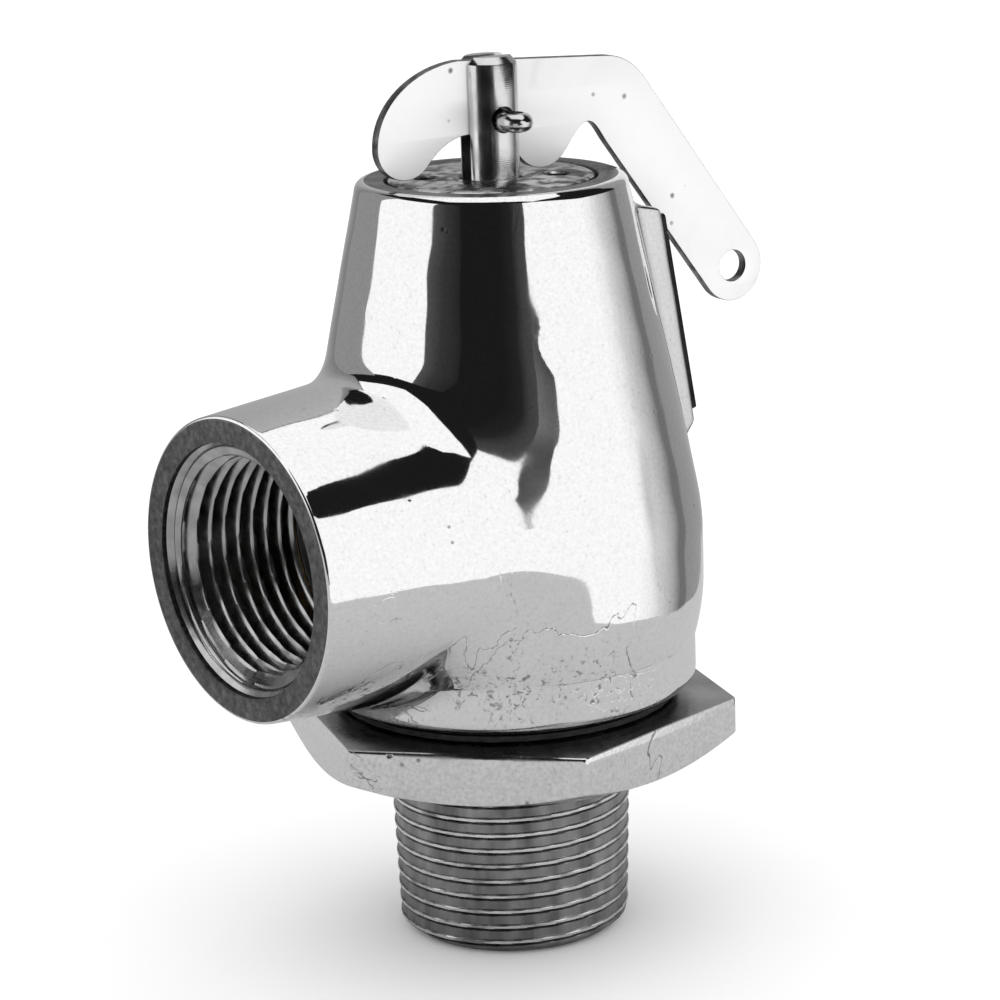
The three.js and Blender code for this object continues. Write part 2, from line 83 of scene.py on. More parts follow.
OUTLET_LENGTH = -BODY_LOW[0]
BARREL_END = OUTLET_LENGTH - 0.3    # where the barrel begins to round into its face
OUTLET_Z = 48.4
OUTLET_R = 16.5
OUTLET_ROOT_R = 17.72
OUTLET_ROOT_X = 21.5
MOUTH_R = 13.65
OUTLET_THREAD_R = 13.06             # root of the outlet's thread at its mouth
PASSAGE_R = 10.8
THREAD_PITCH = 25.4 / 14
THREAD_TAPER = 1 / 32
GAP = 0.3                           # clearance between neighbouring pieces
SPINDLE_R = 3.175

BODY_BOTTOM = BODY_LOW[2]
BODY_TOP = BODY_HIGH[2]
FOOT_R = 1.2                        # rounding under the skirt
FOOT_Z = BODY_BOTTOM + 0.45
SKIRT_R = 21.3
SKIRT_TOP = 33.9
BELLY_R = 22.35
BELLY_LOW = 40.5
LOWER_ARC_R = 22.3                  # the wall's curve in elevation between skirt and belly
RIM_R = 1.1
RIM_CENTRE_R = 13.86
RIM_ANGLE = 11.5                    # degrees above level where the rim rounding meets the cone
BORE_R = 17.0
BORE_TOP = 36.5
BOWL_R = 16.6
BOWL_TOP = 60.0
CHAMBER_R = 12.3
CHAMBER_TOP = 77.6
PLUG_R = PLUG_HIGH[0]
HOLE_R = PLUG_R + GAP

PAD_HALF_WIDTH = 8.0
PAD_LOW = np.array([22.2, 56.0])    # x and z of the pad face's lower edge
PAD_HIGH = np.array([17.6, 80.6])
PAD_LEAN = math.atan2(PAD_LOW[0] - PAD_HIGH[0], PAD_HIGH[1] - PAD_LOW[1])


# ---------- meshes ----------

def add_object(name, data):
    piece = bpy.data.objects.new(name, data)
    bpy.context.scene.collection.objects.link(piece)
    return piece


def evaluated_mesh(piece):
    """A copy of the piece's mesh as its modifiers or curve settings make it."""
    graph = bpy.context.evaluated_depsgraph_get()
    return bpy.data.meshes.new_from_object(piece.evaluated_get(graph))


def smooth(mesh, sharp=32):
    """Smooth shading; edges sharper than the given angle in degrees stay sharp."""
    mesh.shade_smooth()
    mesh.set_sharp_from_angle(angle=math.radians(sharp))


def polar(r, angles, z):
    """Points at radius r and height z, one for each angle."""
    return np.stack(np.broadcast_arrays(r * np.cos(angles), r * np.sin(angles), z), 1)


def make_piece(name, points, faces, materials, face_materials=None, sharp=32):
    """A smooth-shaded mesh object from points in millimetres, its faces turned outwards."""
    mesh = bpy.data.meshes.new(name)
    mesh.from_pydata((np.asarray(points) * MM).tolist(), [], faces)
    for material in materials:
        mesh.materials.append(material)
    if face_materials is not None:
        mesh.polygons.foreach_set("material_index", np.asarray(face_materials, np.int32))
    work = bmesh.new()
    work.from_mesh(mesh)
    unused = [vertex for vertex in work.verts if not vertex.link_faces]
    bmesh.ops.delete(work, geom=unused, context="VERTS")
    bmesh.ops.recalc_face_normals(work, faces=work.faces)
    work.to_mesh(mesh)
    work.free()
    smooth(mesh, sharp)
    return add_object(name, mesh)


def grid_faces(rows, columns, wrap_rows=False):
    """Quads of a grid of vertices, numbered row by row, whose columns run all the way round."""
    faces = []
    for i in range(rows if wrap_rows else rows - 1):
        here, below = i * columns, (i + 1) % rows * columns
        for j in range(columns):
            right = (j + 1) % columns
            faces.append((here + j, here + right, below + right, below + j))
    return faces


def lathe(name, outline, materials, segments):
    """Turns an outline of (radius, height) points about Z: closed on itself, or ending on the axis."""
    on_axis = outline[0][0] == 0
    rings = outline[1:-1] if on_axis else outline
    angles = np.linspace(0, 2 * math.pi, segments, endpoint=False)
    points = np.concatenate([polar(r, angles, z) for r, z in rings])
    faces = grid_faces(len(rings), segments, wrap_rows=not on_axis)
    if on_axis:
        faces.append(tuple(range(segments)))
        faces.append(tuple(range(len(points) - segments, len(points))))
    return make_piece(name, points, faces, materials)


def arc(r, z, radius, start, end, steps):
    """Points of a circular arc in an outline, both ends included; angles in degrees."""
    angles = np.radians(np.linspace(start, end, steps + 1))
    return [(r + radius * math.cos(a), z + radius * math.sin(a)) for a in angles]


def bezier(p0, p1, p2, p3, steps):
    """Points of a cubic curve after its first end."""
    t = np.linspace(0, 1, steps + 1)[1:, None]
    p0, p1, p2, p3 = (np.array(p, float) for p in (p0, p1, p2, p3))
    return list((1 - t) ** 3 * p0 + 3 * (1 - t) ** 2 * t * p1 + 3 * (1 - t) * t ** 2 * p2 + t ** 3 * p3)


def cut(piece, tool):
    """Cuts one closed mesh out of another and drops the tool."""
    modifier = piece.modifiers.new("cut", "BOOLEAN")
    modifier.operation = "DIFFERENCE"
    modifier.solver = "EXACT"
    modifier.object = tool
    mesh = evaluated_mesh(piece)
    piece.modifiers.remove(modifier)
    piece.data = mesh
    bpy.data.objects.remove(tool)
    smooth(mesh)


def move_mesh(piece, matrix):
    piece.data.transform(matrix)
    return piece


def turn_to_lever(piece, height=0.0):
    """From the drawing plane, X right and Z up, into the lever's plane."""
    lift = Matrix.Translation((0, 0, height * MM))
    return move_mesh(piece, lift @ Matrix.Rotation(LEVER_TURN, 4, "Z"))


def flat_piece(name, loops, thickness, bevel, materials):
    """A flat sheet with rounded edges, from an outline and its holes, lying in the XY plane."""
    curve = bpy.data.curves.new(name + "_outline", "CURVE")
    curve.dimensions = "2D"
    curve.fill_mode = "BOTH"
    curve.extrude = (thickness / 2 - bevel) * MM
    curve.bevel_depth = bevel * MM
    curve.offset = -bevel * MM
    curve.bevel_resolution = 2
    for loop in loops:
        spline = curve.splines.new("POLY")
        spline.points.add(len(loop) - 1)
        for point, (x, y) in zip(spline.points, loop):
            point.co = (x * MM, y * MM, 0, 1)
        spline.use_cyclic_u = True
    outline = add_object(name + "_outline", curve)
    mesh = evaluated_mesh(outline)
    bpy.data.objects.remove(outline)
    work = bmesh.new()
    work.from_mesh(mesh)
    bmesh.ops.remove_doubles(work, verts=work.verts, dist=1e-7)
    bmesh.ops.recalc_face_normals(work, faces=work.faces)
    work.to_mesh(mesh)
    work.free()
    mesh.materials.clear()
    for material in materials:
        mesh.materials.append(material)
    smooth(mesh, 28)
    return add_object(name, mesh)


def sweep(name, path, section, normals, materials):
    """Carries a closed section along a path; section is (along the normal, along Z or binormal)."""
    path, normals = np.asarray(path), np.asarray(normals)
    tangents = np.gradient(path, axis=0)
    tangents /= np.linalg.norm(tangents, axis=1, keepdims=True)
    normals = normals / np.linalg.norm(normals, axis=1, keepdims=True)
    binormals = np.cross(tangents, normals)
    section = np.asarray(section)
    rings = (path[:, None, :]
             + section[None, :, :1] * normals[:, None, :]
             + section[None, :, 1:] * binormals[:, None, :])
    count = len(section)
    faces = grid_faces(len(path), count)
    faces.append(tuple(range(count)))
    faces.append(tuple(range((len(path) - 1) * count, len(path) * count)))
    return make_piece(name, rings.reshape(-1, 3), faces, materials, sharp=40)


# ---------- materials ----------

def fill_ramp(ramp, stops):
    """Sets a ramp's stops from pairs of position and grey level or colour."""
    elements = ramp.color_ramp.elements
    while len(elements) < len(stops):
        elements.new(0.5)
    for element, (position, level) in zip(elements, stops):
        element.position = position
        element.color = (*(level if isinstance(level, tuple) else (level,) * 3), 1)


class Finish:
    """A procedural material: a Principled shader and the nodes that feed it."""

    def __init__(self, name, metallic, roughness):
        self.material = bpy.data.materials.new(name)
        self.material.use_nodes = True
        self.tree = self.material.node_tree
        self.shader = self.tree.nodes["Principled BSDF"]
        self.shader.inputs["Metallic"].default_value = metallic
        self.shader.inputs["Roughness"].default_value = roughness
        self.place = self.add("ShaderNodeTexCoord").outputs["Object"]
        self.normal = None

    def add(self, kind, values=(), links=(), **settings):
        node = self.tree.nodes.new(kind)
        for key, value in settings.items():
            setattr(node, key, value)
        for key, value in dict(values).items():
            node.inputs[key].default_value = value
        for key, output in dict(links).items():
            self.tree.links.new(output, node.inputs[key])
        return node

    def mapped(self, scale=(1, 1, 1), move=(0, 0, 0)):
        values = {"Scale": scale, "Location": move}
        return self.add("ShaderNodeMapping", values, {"Vector": self.place}).outputs[0]

    def noise(self, scale, detail, stretch=None, distortion=0.0):
        vector = self.mapped(scale=stretch) if stretch else self.place
        values = {"Scale": scale, "Detail": detail, "Distortion": distortion}
        return self.add("ShaderNodeTexNoise", values, {"Vector": vector}).outputs["Fac"]

    def spots(self, scale):
        return self.add("ShaderNodeTexVoronoi", {"Scale": scale}, {"Vector": self.place}).outputs["Distance"]

    def rings(self, direction, scale, move=(0, 0, 0)):
        values = {"Scale": scale, "Distortion": 0.6, "Detail": 3.0, "Detail Scale": 2.0}
        links = {"Vector": self.mapped(move=move)}
        node = self.add("ShaderNodeTexWave", values, links, wave_type="RINGS", rings_direction=direction)
        return node.outputs["Fac"]

    def bands(self, scale):
        """Fine turning marks along Z."""
        values = {"Scale": scale, "Distortion": 1.0, "Detail": 2.0, "Detail Scale": 1.5}
        links = {"Vector": self.place}
        node = self.add("ShaderNodeTexWave", values, links, wave_type="BANDS", bands_direction="Z")
        return node.outputs["Fac"]

    def between(self, value, from_low, from_high, low=0, high=1):
        values = {"From Min": from_low, "From Max": from_high, "To Min": low, "To Max": high}
        return self.add("ShaderNodeMapRange", values, {"Value": value}, clamp=True).outputs[0]

    def times(self, a, b):
        return self.add("ShaderNodeMath", (), {0: a, 1: b}, operation="MULTIPLY").outputs[0]

    def plus(self, a, b):
        return self.add("ShaderNodeMath", (), {0: a, 1: b}, operation="ADD", use_clamp=True).outputs[0]

    def minus(self, value):
        """One less the value."""
        return self.add("ShaderNodeMath", {0: 1.0}, {1: value}, operation="SUBTRACT").outputs[0]

    def away_from(self, value, level):
        gap = self.add("ShaderNodeMath", {1: level}, {0: value}, operation="SUBTRACT").outputs[0]
        return self.add("ShaderNodeMath", (), {0: gap}, operation="ABSOLUTE").outputs[0]

    def hairlines(self, scale, distortion, width, gaps, share):
        """Thin wandering lines, 1 on a line, kept only where a second noise is high."""
        wander = self.noise(scale, 4, distortion=distortion)
        off_line = self.between(self.away_from(wander, 0.5), 0.0, width)
        return self.times(self.minus(off_line), self.between(self.noise(gaps, 3), *share))

    def pits(self, scale, width, areas, share):
        """Small round pits, 1 in a pit, kept only where a second noise is high."""
        off_pit = self.between(self.spots(scale), 0.05, width)
        return self.times(self.minus(off_pit), self.between(self.noise(areas, 3), *share))

    def height(self):
        """Height over the ground in the part's frame, in metres."""
        return self.add("ShaderNodeSeparateXYZ", (), {0: self.place}).outputs["Z"]

    def color(self, value, stops):
        ramp = self.add("ShaderNodeValToRGB", (), {"Fac": value})
        fill_ramp(ramp, stops)
        self.tree.links.new(ramp.outputs["Color"], self.shader.inputs["Base Color"])

    def roughness(self, value):
        self.tree.links.new(value, self.shader.inputs["Roughness"])

    def worn(self, noise, low, high, start=0.3):
        """Roughness from low to high that follows a (scale, detail) noise."""
        self.roughness(self.between(self.noise(*noise), start, 0.7, low, high))

    def bump(self, height, depth):
        """Relief of the given depth in millimetres."""
        links = {"Height": height}
        if self.normal:
            links["Normal"] = self.normal
        node = self.add("ShaderNodeBump", {"Distance": depth * MM}, links)
        self.normal = node.outputs["Normal"]
        self.tree.links.new(self.normal, self.shader.inputs["Normal"])


def grained(name, metallic, roughness, tone, stops, wear, gloss, *reliefs):
    """A finish of plain noises, each given as scale, detail and stretch.

    Colour follows tone, roughness follows wear within gloss, and reliefs are pairs of noise and
    depth; a noise of one number stands for turning marks.
    """
    finish = Finish(name, metallic, roughness)
    finish.color(finish.noise(*tone), stops)
    finish.worn(wear, *gloss)
    for grain, depth in reliefs:
        finish.bump(finish.noise(*grain) if len(grain) > 1 else finish.bands(*grain), depth)
    return finish.material


def polished_chrome():
    """Bright plate over a polished casting: faint ripple, grain, pits, hairlines and old knocks."""
    finish = Finish("polished_chrome", 1.0, 0.05)
    grain = finish.noise(2600, 3)
    finish.worn((140, 5), 0.03, 0.085, 0.35)
    low = finish.between(finish.height(), 0.040, 0.050, 1, 0)
    line = finish.times(finish.hairlines(62, 1.4, 0.006, 48, (0.46, 0.56)), low)
    marks = finish.plus(finish.pits(480, 0.16, 70, (0.53, 0.64)), line)
    below = finish.between(finish.height(), 0.034, 0.039, 1, 0)
    patch = finish.between(finish.noise(52, 3), 0.49, 0.6)
    fleck = finish.between(finish.noise(1300, 8, distortion=1.0), 0.53, 0.64)
    mottle = finish.times(finish.times(patch, fleck), below)
    marks = finish.plus(marks, mottle)
    tone = finish.minus(finish.plus(finish.times(marks, finish.noise(300, 3)), grain))
    finish.color(tone, [(0.0, 0.3), (0.34, 0.79), (0.66, 0.87)])
    finish.bump(finish.noise(170, 2), 0.012)
    finish.bump(finish.noise(1500, 3), 0.0012)
    hairs = finish.noise(420, 2, stretch=(1, 1, 0.08), distortion=0.6)
    finish.bump(finish.between(hairs, 0.66, 0.72, 1, 0), 0.004)
    finish.bump(finish.minus(marks), 0.02)
    return finish.material


def machined_face():
    """Faced bronze round the outlet mouth: dull grey with fine tool rings and knocks."""
    finish = Finish("machined_face", 1.0, 0.36)
    knocks = finish.noise(1500, 6)
    finish.color(knocks, [(0.3, 0.08), (0.5, 0.13), (0.75, 0.22)])
    finish.worn((260, 3), 0.28, 0.48)
    rings = finish.rings("X", 700, move=(0, 0, -OUTLET_Z * MM))
    finish.bump(rings, 0.008)
    finish.bump(knocks, 0.03)
    return finish.material


def plated_base():
    """Chrome over milled bronze: the hexagon's sides, grained, nicked and scratched."""
    finish = Finish("plated_base", 1.0, 0.12)
    grain = finish.noise(2300, 4)
    scratches = finish.hairlines(80, 1.2, 0.005, 60, (0.5, 0.58))
    marks = finish.plus(finish.pits(340, 0.15, 90, (0.55, 0.62)), scratches)
    finish.color(finish.minus(finish.plus(marks, grain)), [(0.0, 0.28), (0.34, 0.7), (0.66, 0.86)])
    finish.worn((200, 5), 0.06, 0.18, 0.35)
    finish.bump(finish.noise(240, 3), 0.014)
    finish.bump(finish.minus(marks), 0.02)
    return finish.material


def turned_top():
    """The hexagon's top: plated over circular tool marks, duller than its sides."""
    finish = Finish("turned_top", 1.0, 0.28)
    finish.color(finish.noise(160, 4), [(0.35, 0.34), (0.65, 0.5)])
    finish.worn((240, 4), 0.2, 0.34)
    finish.bump(finish.rings("Z", 520), 0.004)
    finish.bump(finish.noise(500, 4), 0.01)
    return finish.material


def speckled_plug():
    """Blotched plate on the compression screw."""
    finish = Finish("speckled_plug", 1.0, 0.25)
    blots = finish.noise(520, 6, distortion=0.4)
    finish.color(blots, [(0.42, 0.06), (0.5, 0.3), (0.6, 0.66)])
    finish.roughness(finish.between(blots, 0.35, 0.65, 0.45, 0.16))
    finish.bump(blots, 0.06)
    finish.bump(finish.rings("Z", 500), 0.006)
    return finish.material


def stamped_steel():
    """Satin plated sheet, nearly white, with small dark spots and a grained surface."""
    finish = Finish("stamped_steel", 0.3, 0.42)
    smudges = finish.noise(150, 5, distortion=0.8)
    near_spot = finish.between(finish.spots(420), 0.06, 0.2)
    sparse = finish.between(finish.noise(110, 4), 0.5, 0.6, 1, 0)
    clean = finish.plus(near_spot, sparse)
    tone = finish.times(clean, finish.between(smudges, 0.28, 0.6, 0.75, 1))
    finish.color(tone, [(0.0, 0.12), (0.5, 0.5), (0.8, 0.84), (1.0, 0.87)])
    finish.roughness(finish.between(smudges, 0.3, 0.7, 0.3, 0.46))
    finish.bump(finish.noise(2200, 3), 0.006)
    finish.bump(finish.noise(300, 3), 0.01)
    return finish.material


def black_plate():
    """Blank near-black brushed plate, worn lighter in a few spots; its black is a painted dark reflection,
    standing in for the dark that its edge strip reflects.
    """
    finish = Finish("black_plate", 0.9, 0.3)
    wear = finish.noise(500, 6)
    finish.color(wear, [(0.3, 0.01), (0.68, 0.03), (0.8, 0.3)])
    finish.roughness(finish.between(wear, 0.3, 0.7, 0.3, 0.45))
    finish.bump(finish.noise(900, 3, stretch=(1, 0.06, 1)), 0.006)
    return finish.material


CHROME = polished_chrome()
MACHINED = machined_face()
BASE_PLATE = plated_base()
HEX_TOP_FACE = turned_top()
SPECKLED = speckled_plug()
STAMPED = stamped_steel()
PLATE = black_plate()
STEEL = grained("turned_steel", 1.0, 0.16, (350, 4), [(0.35, 0.58), (0.7, 0.74)],
                (500, 4), (0.12, 0.26), ((1400,), 0.002), ((600, 3), 0.006))
BRONZE = grained("turned_bronze", 1.0, 0.32, (260, 4), [(0.3, (0.5, 0.34, 0.17)), (0.7, (0.74, 0.56, 0.34))],
                 (500, 3), (0.26, 0.42), ((1500,), 0.004))
OUTLET_THREAD = grained("cut_thread", 1.0, 0.22, (420, 5), [(0.3, 0.34), (0.6, 0.5)],
                        (900, 4), (0.14, 0.26), ((1500, 4), 0.004))
# The male thread's flanks are streaked along the axis.
MALE_THREAD = grained("male_thread", 1.0, 0.3, (420, 5, (1, 1, 0.22)), [(0.3, 0.17), (0.5, 0.29), (0.7, 0.4)],
                      (800, 4), (0.26, 0.44), ((1200, 4), 0.006))
# Its crest band is painted bright: a painted highlight for the light that the crest catches.
THREAD_CREST_HIGHLIGHT = grained("thread_crest_highlight", 1.0, 0.24, (240, 5), [(0.32, 0.3), (0.45, 0.8), (0.7, 0.94)],
                       (700, 4), (0.16, 0.34), ((1400, 3), 0.004))
INTERIOR = grained("cast_interior", 1.0, 0.5, (200, 5), [(0.3, 0.1), (0.7, 0.2)],
                   (300, 3), (0.42, 0.62), ((500, 5), 0.08))
# The lever's cut edge is darker and rougher than its faces.
SHEARED = grained("sheared_edge", 1.0, 0.35, (700, 5), [(0.35, 0.08), (0.7, 0.34)],
                  (900, 3), (0.28, 0.5), ((1500, 4), 0.02))
SPRING_WIRE = grained("spring_wire", 1.0, 0.35, (700, 4), [(0.3, 0.2), (0.7, 0.42)],
                      (900, 3), (0.28, 0.45), ((1800, 3), 0.01))
RUBBER = grained("moulded_rubber", 0.0, 0.7, (400, 4), [(0.3, 0.018), (0.7, 0.04)],
                 (800, 3), (0.6, 0.8), ((1500, 4), 0.02))
# The base gasket is coloured near-black as painted shade, so that it reads as the shadow of the recess under
# the skirt.
FIBRE_IN_PAINTED_SHADE = grained("pressed_fibre_painted_shade", 0.0, 0.85, (900, 6, (1, 1, 4)), [(0.3, 0.008), (0.7, 0.03)],
                (600, 3), (0.75, 0.95), ((1600, 5), 0.05))


# ---------- body casting: the outside as a blend of cone, barrel and pad ----------

CONE_KNOTS = [                      # height, radius and slope of the wall above the belly
    (45.8, 22.35, 0.0),
    (50.3, 21.9, -0.165),
    (57.0, 20.68, -0.195),
    (64.2, 19.26, -0.205),
    (74.0, 17.2, -0.2115),
    (84.4, 15.0, -0.2115),
]


def wall_radius(z):
    """Radius of the body's outside at height z."""
    z = np.asarray(z, float)
    drop = np.minimum(z - BELLY_LOW, 0)
    lower = BELLY_R - LOWER_ARC_R + np.sqrt(np.maximum(LOWER_ARC_R ** 2 - drop ** 2, 0))
    radius = np.where(z < SKIRT_TOP, SKIRT_R, lower)
    for (z0, r0, m0), (z1, r1, m1) in zip(CONE_KNOTS, CONE_KNOTS[1:]):
        h = z1 - z0
        t = (z - z0) / h
        curve = ((2 * t ** 3 - 3 * t ** 2 + 1) * r0 + (t ** 3 - 2 * t ** 2 + t) * h * m0
                 + (3 * t ** 2 - 2 * t ** 3) * r1 + (t ** 3 - t ** 2) * h * m1)
        radius = np.where((t >= 0) & (t < 1), curve, radius)
    last_z, last_r, last_slope = CONE_KNOTS[-1]
    return np.where(z >= last_z, last_r + (z - last_z) * last_slope, radius)


def smooth_min(a, b, k):
    h = np.maximum(k - np.abs(a - b), 0) / k
    return np.minimum(a, b) - h * h * k / 4


def smooth_max(a, b, k):
    return -smooth_min(-a, -b, k)


def turned_distance(p):
    """Distance from the turned outside of the body, negative inside."""
    r = np.hypot(p[..., 0], p[..., 1])
    z = p[..., 2]
    dr = r - (SKIRT_R - FOOT_R)
    dz = FOOT_Z + FOOT_R - z
    corner = np.hypot(np.maximum(dr, 0), np.maximum(dz, 0)) + np.minimum(np.maximum(dr, dz), 0) - FOOT_R
    return np.where(z < FOOT_Z + FOOT_R, corner, (r - wall_radius(z)) * 0.985)


def pad_distance(p):
    x, y, z = p[..., 0], np.abs(p[..., 1]), p[..., 2]
    face = (x - PAD_LOW[0]) * math.cos(PAD_LEAN) + (z - PAD_LOW[1]) * math.sin(PAD_LEAN)
    roof_tilt = math.radians(14)
    roof = (x - PAD_HIGH[0]) * math.sin(roof_tilt) + (z - PAD_HIGH[1]) * math.cos(roof_tilt)
    under_tilt = math.radians(50)
    under = (x - PAD_LOW[0]) * math.sin(under_tilt) - (z - PAD_LOW[1] + 0.4) * math.cos(under_tilt)
    block = np.maximum(smooth_max(face, y - PAD_HALF_WIDTH, 0.45), 8 - x)
    return smooth_max(smooth_max(block, roof, 0.5), under, 0.4)


def barrel_radius(distance):
    slope = (OUTLET_ROOT_R - OUTLET_R) / (BARREL_END - OUTLET_ROOT_X)
    return OUTLET_R + (BARREL_END - distance) * slope


def barrel_distance(p):
    round_it = np.hypot(p[..., 1], p[..., 2] - OUTLET_Z) - barrel_radius(-p[..., 0])
    return np.maximum(round_it * 0.997, p[..., 0])


def outside(p):
    """Distance from the body's outside, negative inside; the barrel's fillet widens upwards."""
    rise = np.clip((p[..., 2] - 30.5) / 7, 0, 1)
    fillet = 2.0 + 1.5 * rise * rise * (3 - 2 * rise)
    body = smooth_min(turned_distance(p), barrel_distance(p), fillet)
    return smooth_min(body, pad_distance(p), 0.7)


def cast_ripple(p):
    """Slow unevenness that polishing leaves in a casting, in millimetres."""
    x, y, z = p[..., 0], p[..., 1], p[..., 2]
    ripple = np.sin(0.55 * z + 0.31 * x + 1.3) * np.sin(0.47 * y - 0.2 * z + 0.4)
    ripple += 0.6 * np.sin(0.9 * y + 0.38 * z + 2.1) * np.sin(0.83 * x + 0.5 * z)
    return 0.022 * ripple


def shoot(origins, directions, high):
    """Points where rays from inside the body leave it, between 5 mm and the high limit."""
    near = np.full(origins.shape[:-1], 5.0)
    far = np.full(origins.shape[:-1], float(high))
    for _ in range(34):
        middle = (near + far) / 2
        inside = outside(origins + directions * middle[..., None]) < 0
        near = np.where(inside, middle, near)
        far = np.where(inside, far, middle)
    hit = origins + directions * near[..., None]
    return hit + directions * cast_ripple(hit)[..., None]


def around(centre, offsets):
    return [centre + o for o in offsets] + [centre - o for o in offsets if o]


def merged(values, extra, spacing):
    """The extra values, and the plain ones that aren't crowded by them."""
    kept = [v for v in values if min(abs(v - e) for e in extra) > spacing]
    return sorted(set(kept) | set(extra))


PAD_EDGE = 1.0                      # column value on the edge of the pad's face
PAD_FOOT = 1.2                      # where the pad's side meets the cone
OUTLET_SIDE = 6.0                   # on the middle of the outlet
WINDOW_TOP = 71.5                   # the barrel's own rings replace the wall below this height
WINDOW_HALF = math.radians(67)      # and within this angle of the outlet's middle


def column_values():
    fine = around(PAD_EDGE, [0, 0.012, 0.026, 0.045, 0.07]) + around(PAD_FOOT, [0, 0.014, 0.03, 0.05, 0.08])
    plain = np.linspace(0, OUTLET_SIDE, 98)
    return np.array(merged(plain, fine + [0.0, OUTLET_SIDE], 0.03))


def column_angles(z):
    """Angle of every grid column at height z; the columns near the pad follow its edges."""
    values = column_values()
    level = min(max(z, PAD_LOW[1]), PAD_HIGH[1])
    face_x = PAD_LOW[0] - (level - PAD_LOW[1]) * math.tan(PAD_LEAN)
    edge = math.atan2(PAD_HALF_WIDTH, face_x)
    foot = math.asin(PAD_HALF_WIDTH / float(wall_radius(level)))
    half = np.interp(values, [0, PAD_EDGE, PAD_FOOT, OUTLET_SIDE], [0, edge, foot, math.pi])
    return np.concatenate([half, 2 * math.pi - half[-2:0:-1]])


def turned_ring(r, z):
    return polar(r, column_angles(z), z)


def wall_ring(z):
    angles = column_angles(z)
    return shoot(polar(0, angles, z), polar(1, angles, 0), 32)


def outlet_rings(boundary, bottom):
    """Rings that run from the window in the outside, over the barrel, into the outlet's passage."""
    centre = np.array([0, 0, OUTLET_Z])
    ray = boundary - centre
    ray /= np.linalg.norm(ray, axis=1, keepdims=True)
    around_axis = np.arctan2(ray[:, 1], ray[:, 2])
    spread = np.arccos(-ray[:, 0])
    rim = math.atan2(OUTLET_R, BARREL_END)
    rings, kinds = [], []
    count = 84
    for i in range(1, count + 1):
        share = (1 - i / count) ** 1.15
        angle = rim + (spread - rim) * share
        directions = np.stack([
            -np.cos(angle),
            np.sin(angle) * np.sin(around_axis),
            np.sin(angle) * np.cos(around_axis),
        ], 1)
        origins = np.repeat(centre[None], len(boundary), 0)
        rings.append(shoot(origins, directions, 60))
        kinds.append(0)

    def ring(distance, radius, kind):
        distance = np.broadcast_to(distance, around_axis.shape)
        rings.append(np.stack([
            -distance,
            radius * np.sin(around_axis),
            OUTLET_Z + radius * np.cos(around_axis),
        ], 1))
        kinds.append(kind)

    face = OUTLET_LENGTH
    for back, radius in ((0.14, OUTLET_R - 0.03), (0.05, OUTLET_R - 0.12), (0.0, OUTLET_R - 0.3)):
        ring(face - back, radius, 0)
    for radius in (15.6, 15.0, 14.4, MOUTH_R + 0.15):
        ring(face, radius, 1)
    for back, radius in ((0.05, MOUTH_R + 0.04), (0.2, MOUTH_R), (0.4, MOUTH_R), (0.62, MOUTH_R)):
        ring(face - back, radius, 1)
    for back, radius in ((0.68, MOUTH_R - 0.06), (0.95, 13.3), (1.2, OUTLET_THREAD_R + 0.01)):
        ring(face - back, radius, 2)
    start = face - 1.3
    thread_length = 15.0
    depth = 1.35
    steps = 120
    for i in range(steps + 1):
        back = thread_length * i / steps
        distance = start - back
        root = OUTLET_THREAD_R - back * THREAD_TAPER
        phase = distance / THREAD_PITCH - around_axis / (2 * math.pi)
        wave = np.abs(2 * (phase - np.floor(phase)) - 1)
        crest = np.clip(wave * 1.16 - 0.08, 0, 1)
        fade = min(1, back / 0.7) * min(1, (thread_length - back) / 1.5)
        radius = root - depth * (crest * fade + (1 - fade) * (back > 7))
        ring(distance, radius, 2)
    for distance, radius in ((start - thread_length - 0.3, PASSAGE_R + 0.2), (19.0, PASSAGE_R)):
        ring(distance, radius, 3)
    y = PASSAGE_R * np.sin(around_axis)
    saddle_x = np.sqrt(BOWL_R ** 2 - y ** 2)
    ring(np.maximum(saddle_x + 0.4, 17.6), PASSAGE_R, 3)
    ring(saddle_x, PASSAGE_R, 3)
    saddle_angle = math.pi - np.arcsin(y / BOWL_R)
    saddle_z = OUTLET_Z + PASSAGE_R * np.cos(around_axis)
    bottom_angle = np.arctan2(bottom[:, 1], bottom[:, 0]) % (2 * math.pi)
    for share in (0.12, 0.3, 0.5, 0.75):
        angle = saddle_angle + (bottom_angle - saddle_angle) * share
        height = saddle_z + (bottom[:, 2] - saddle_z) * share
        rings.append(polar(BOWL_R, angle, height))
        kinds.append(3)
    return rings, kinds


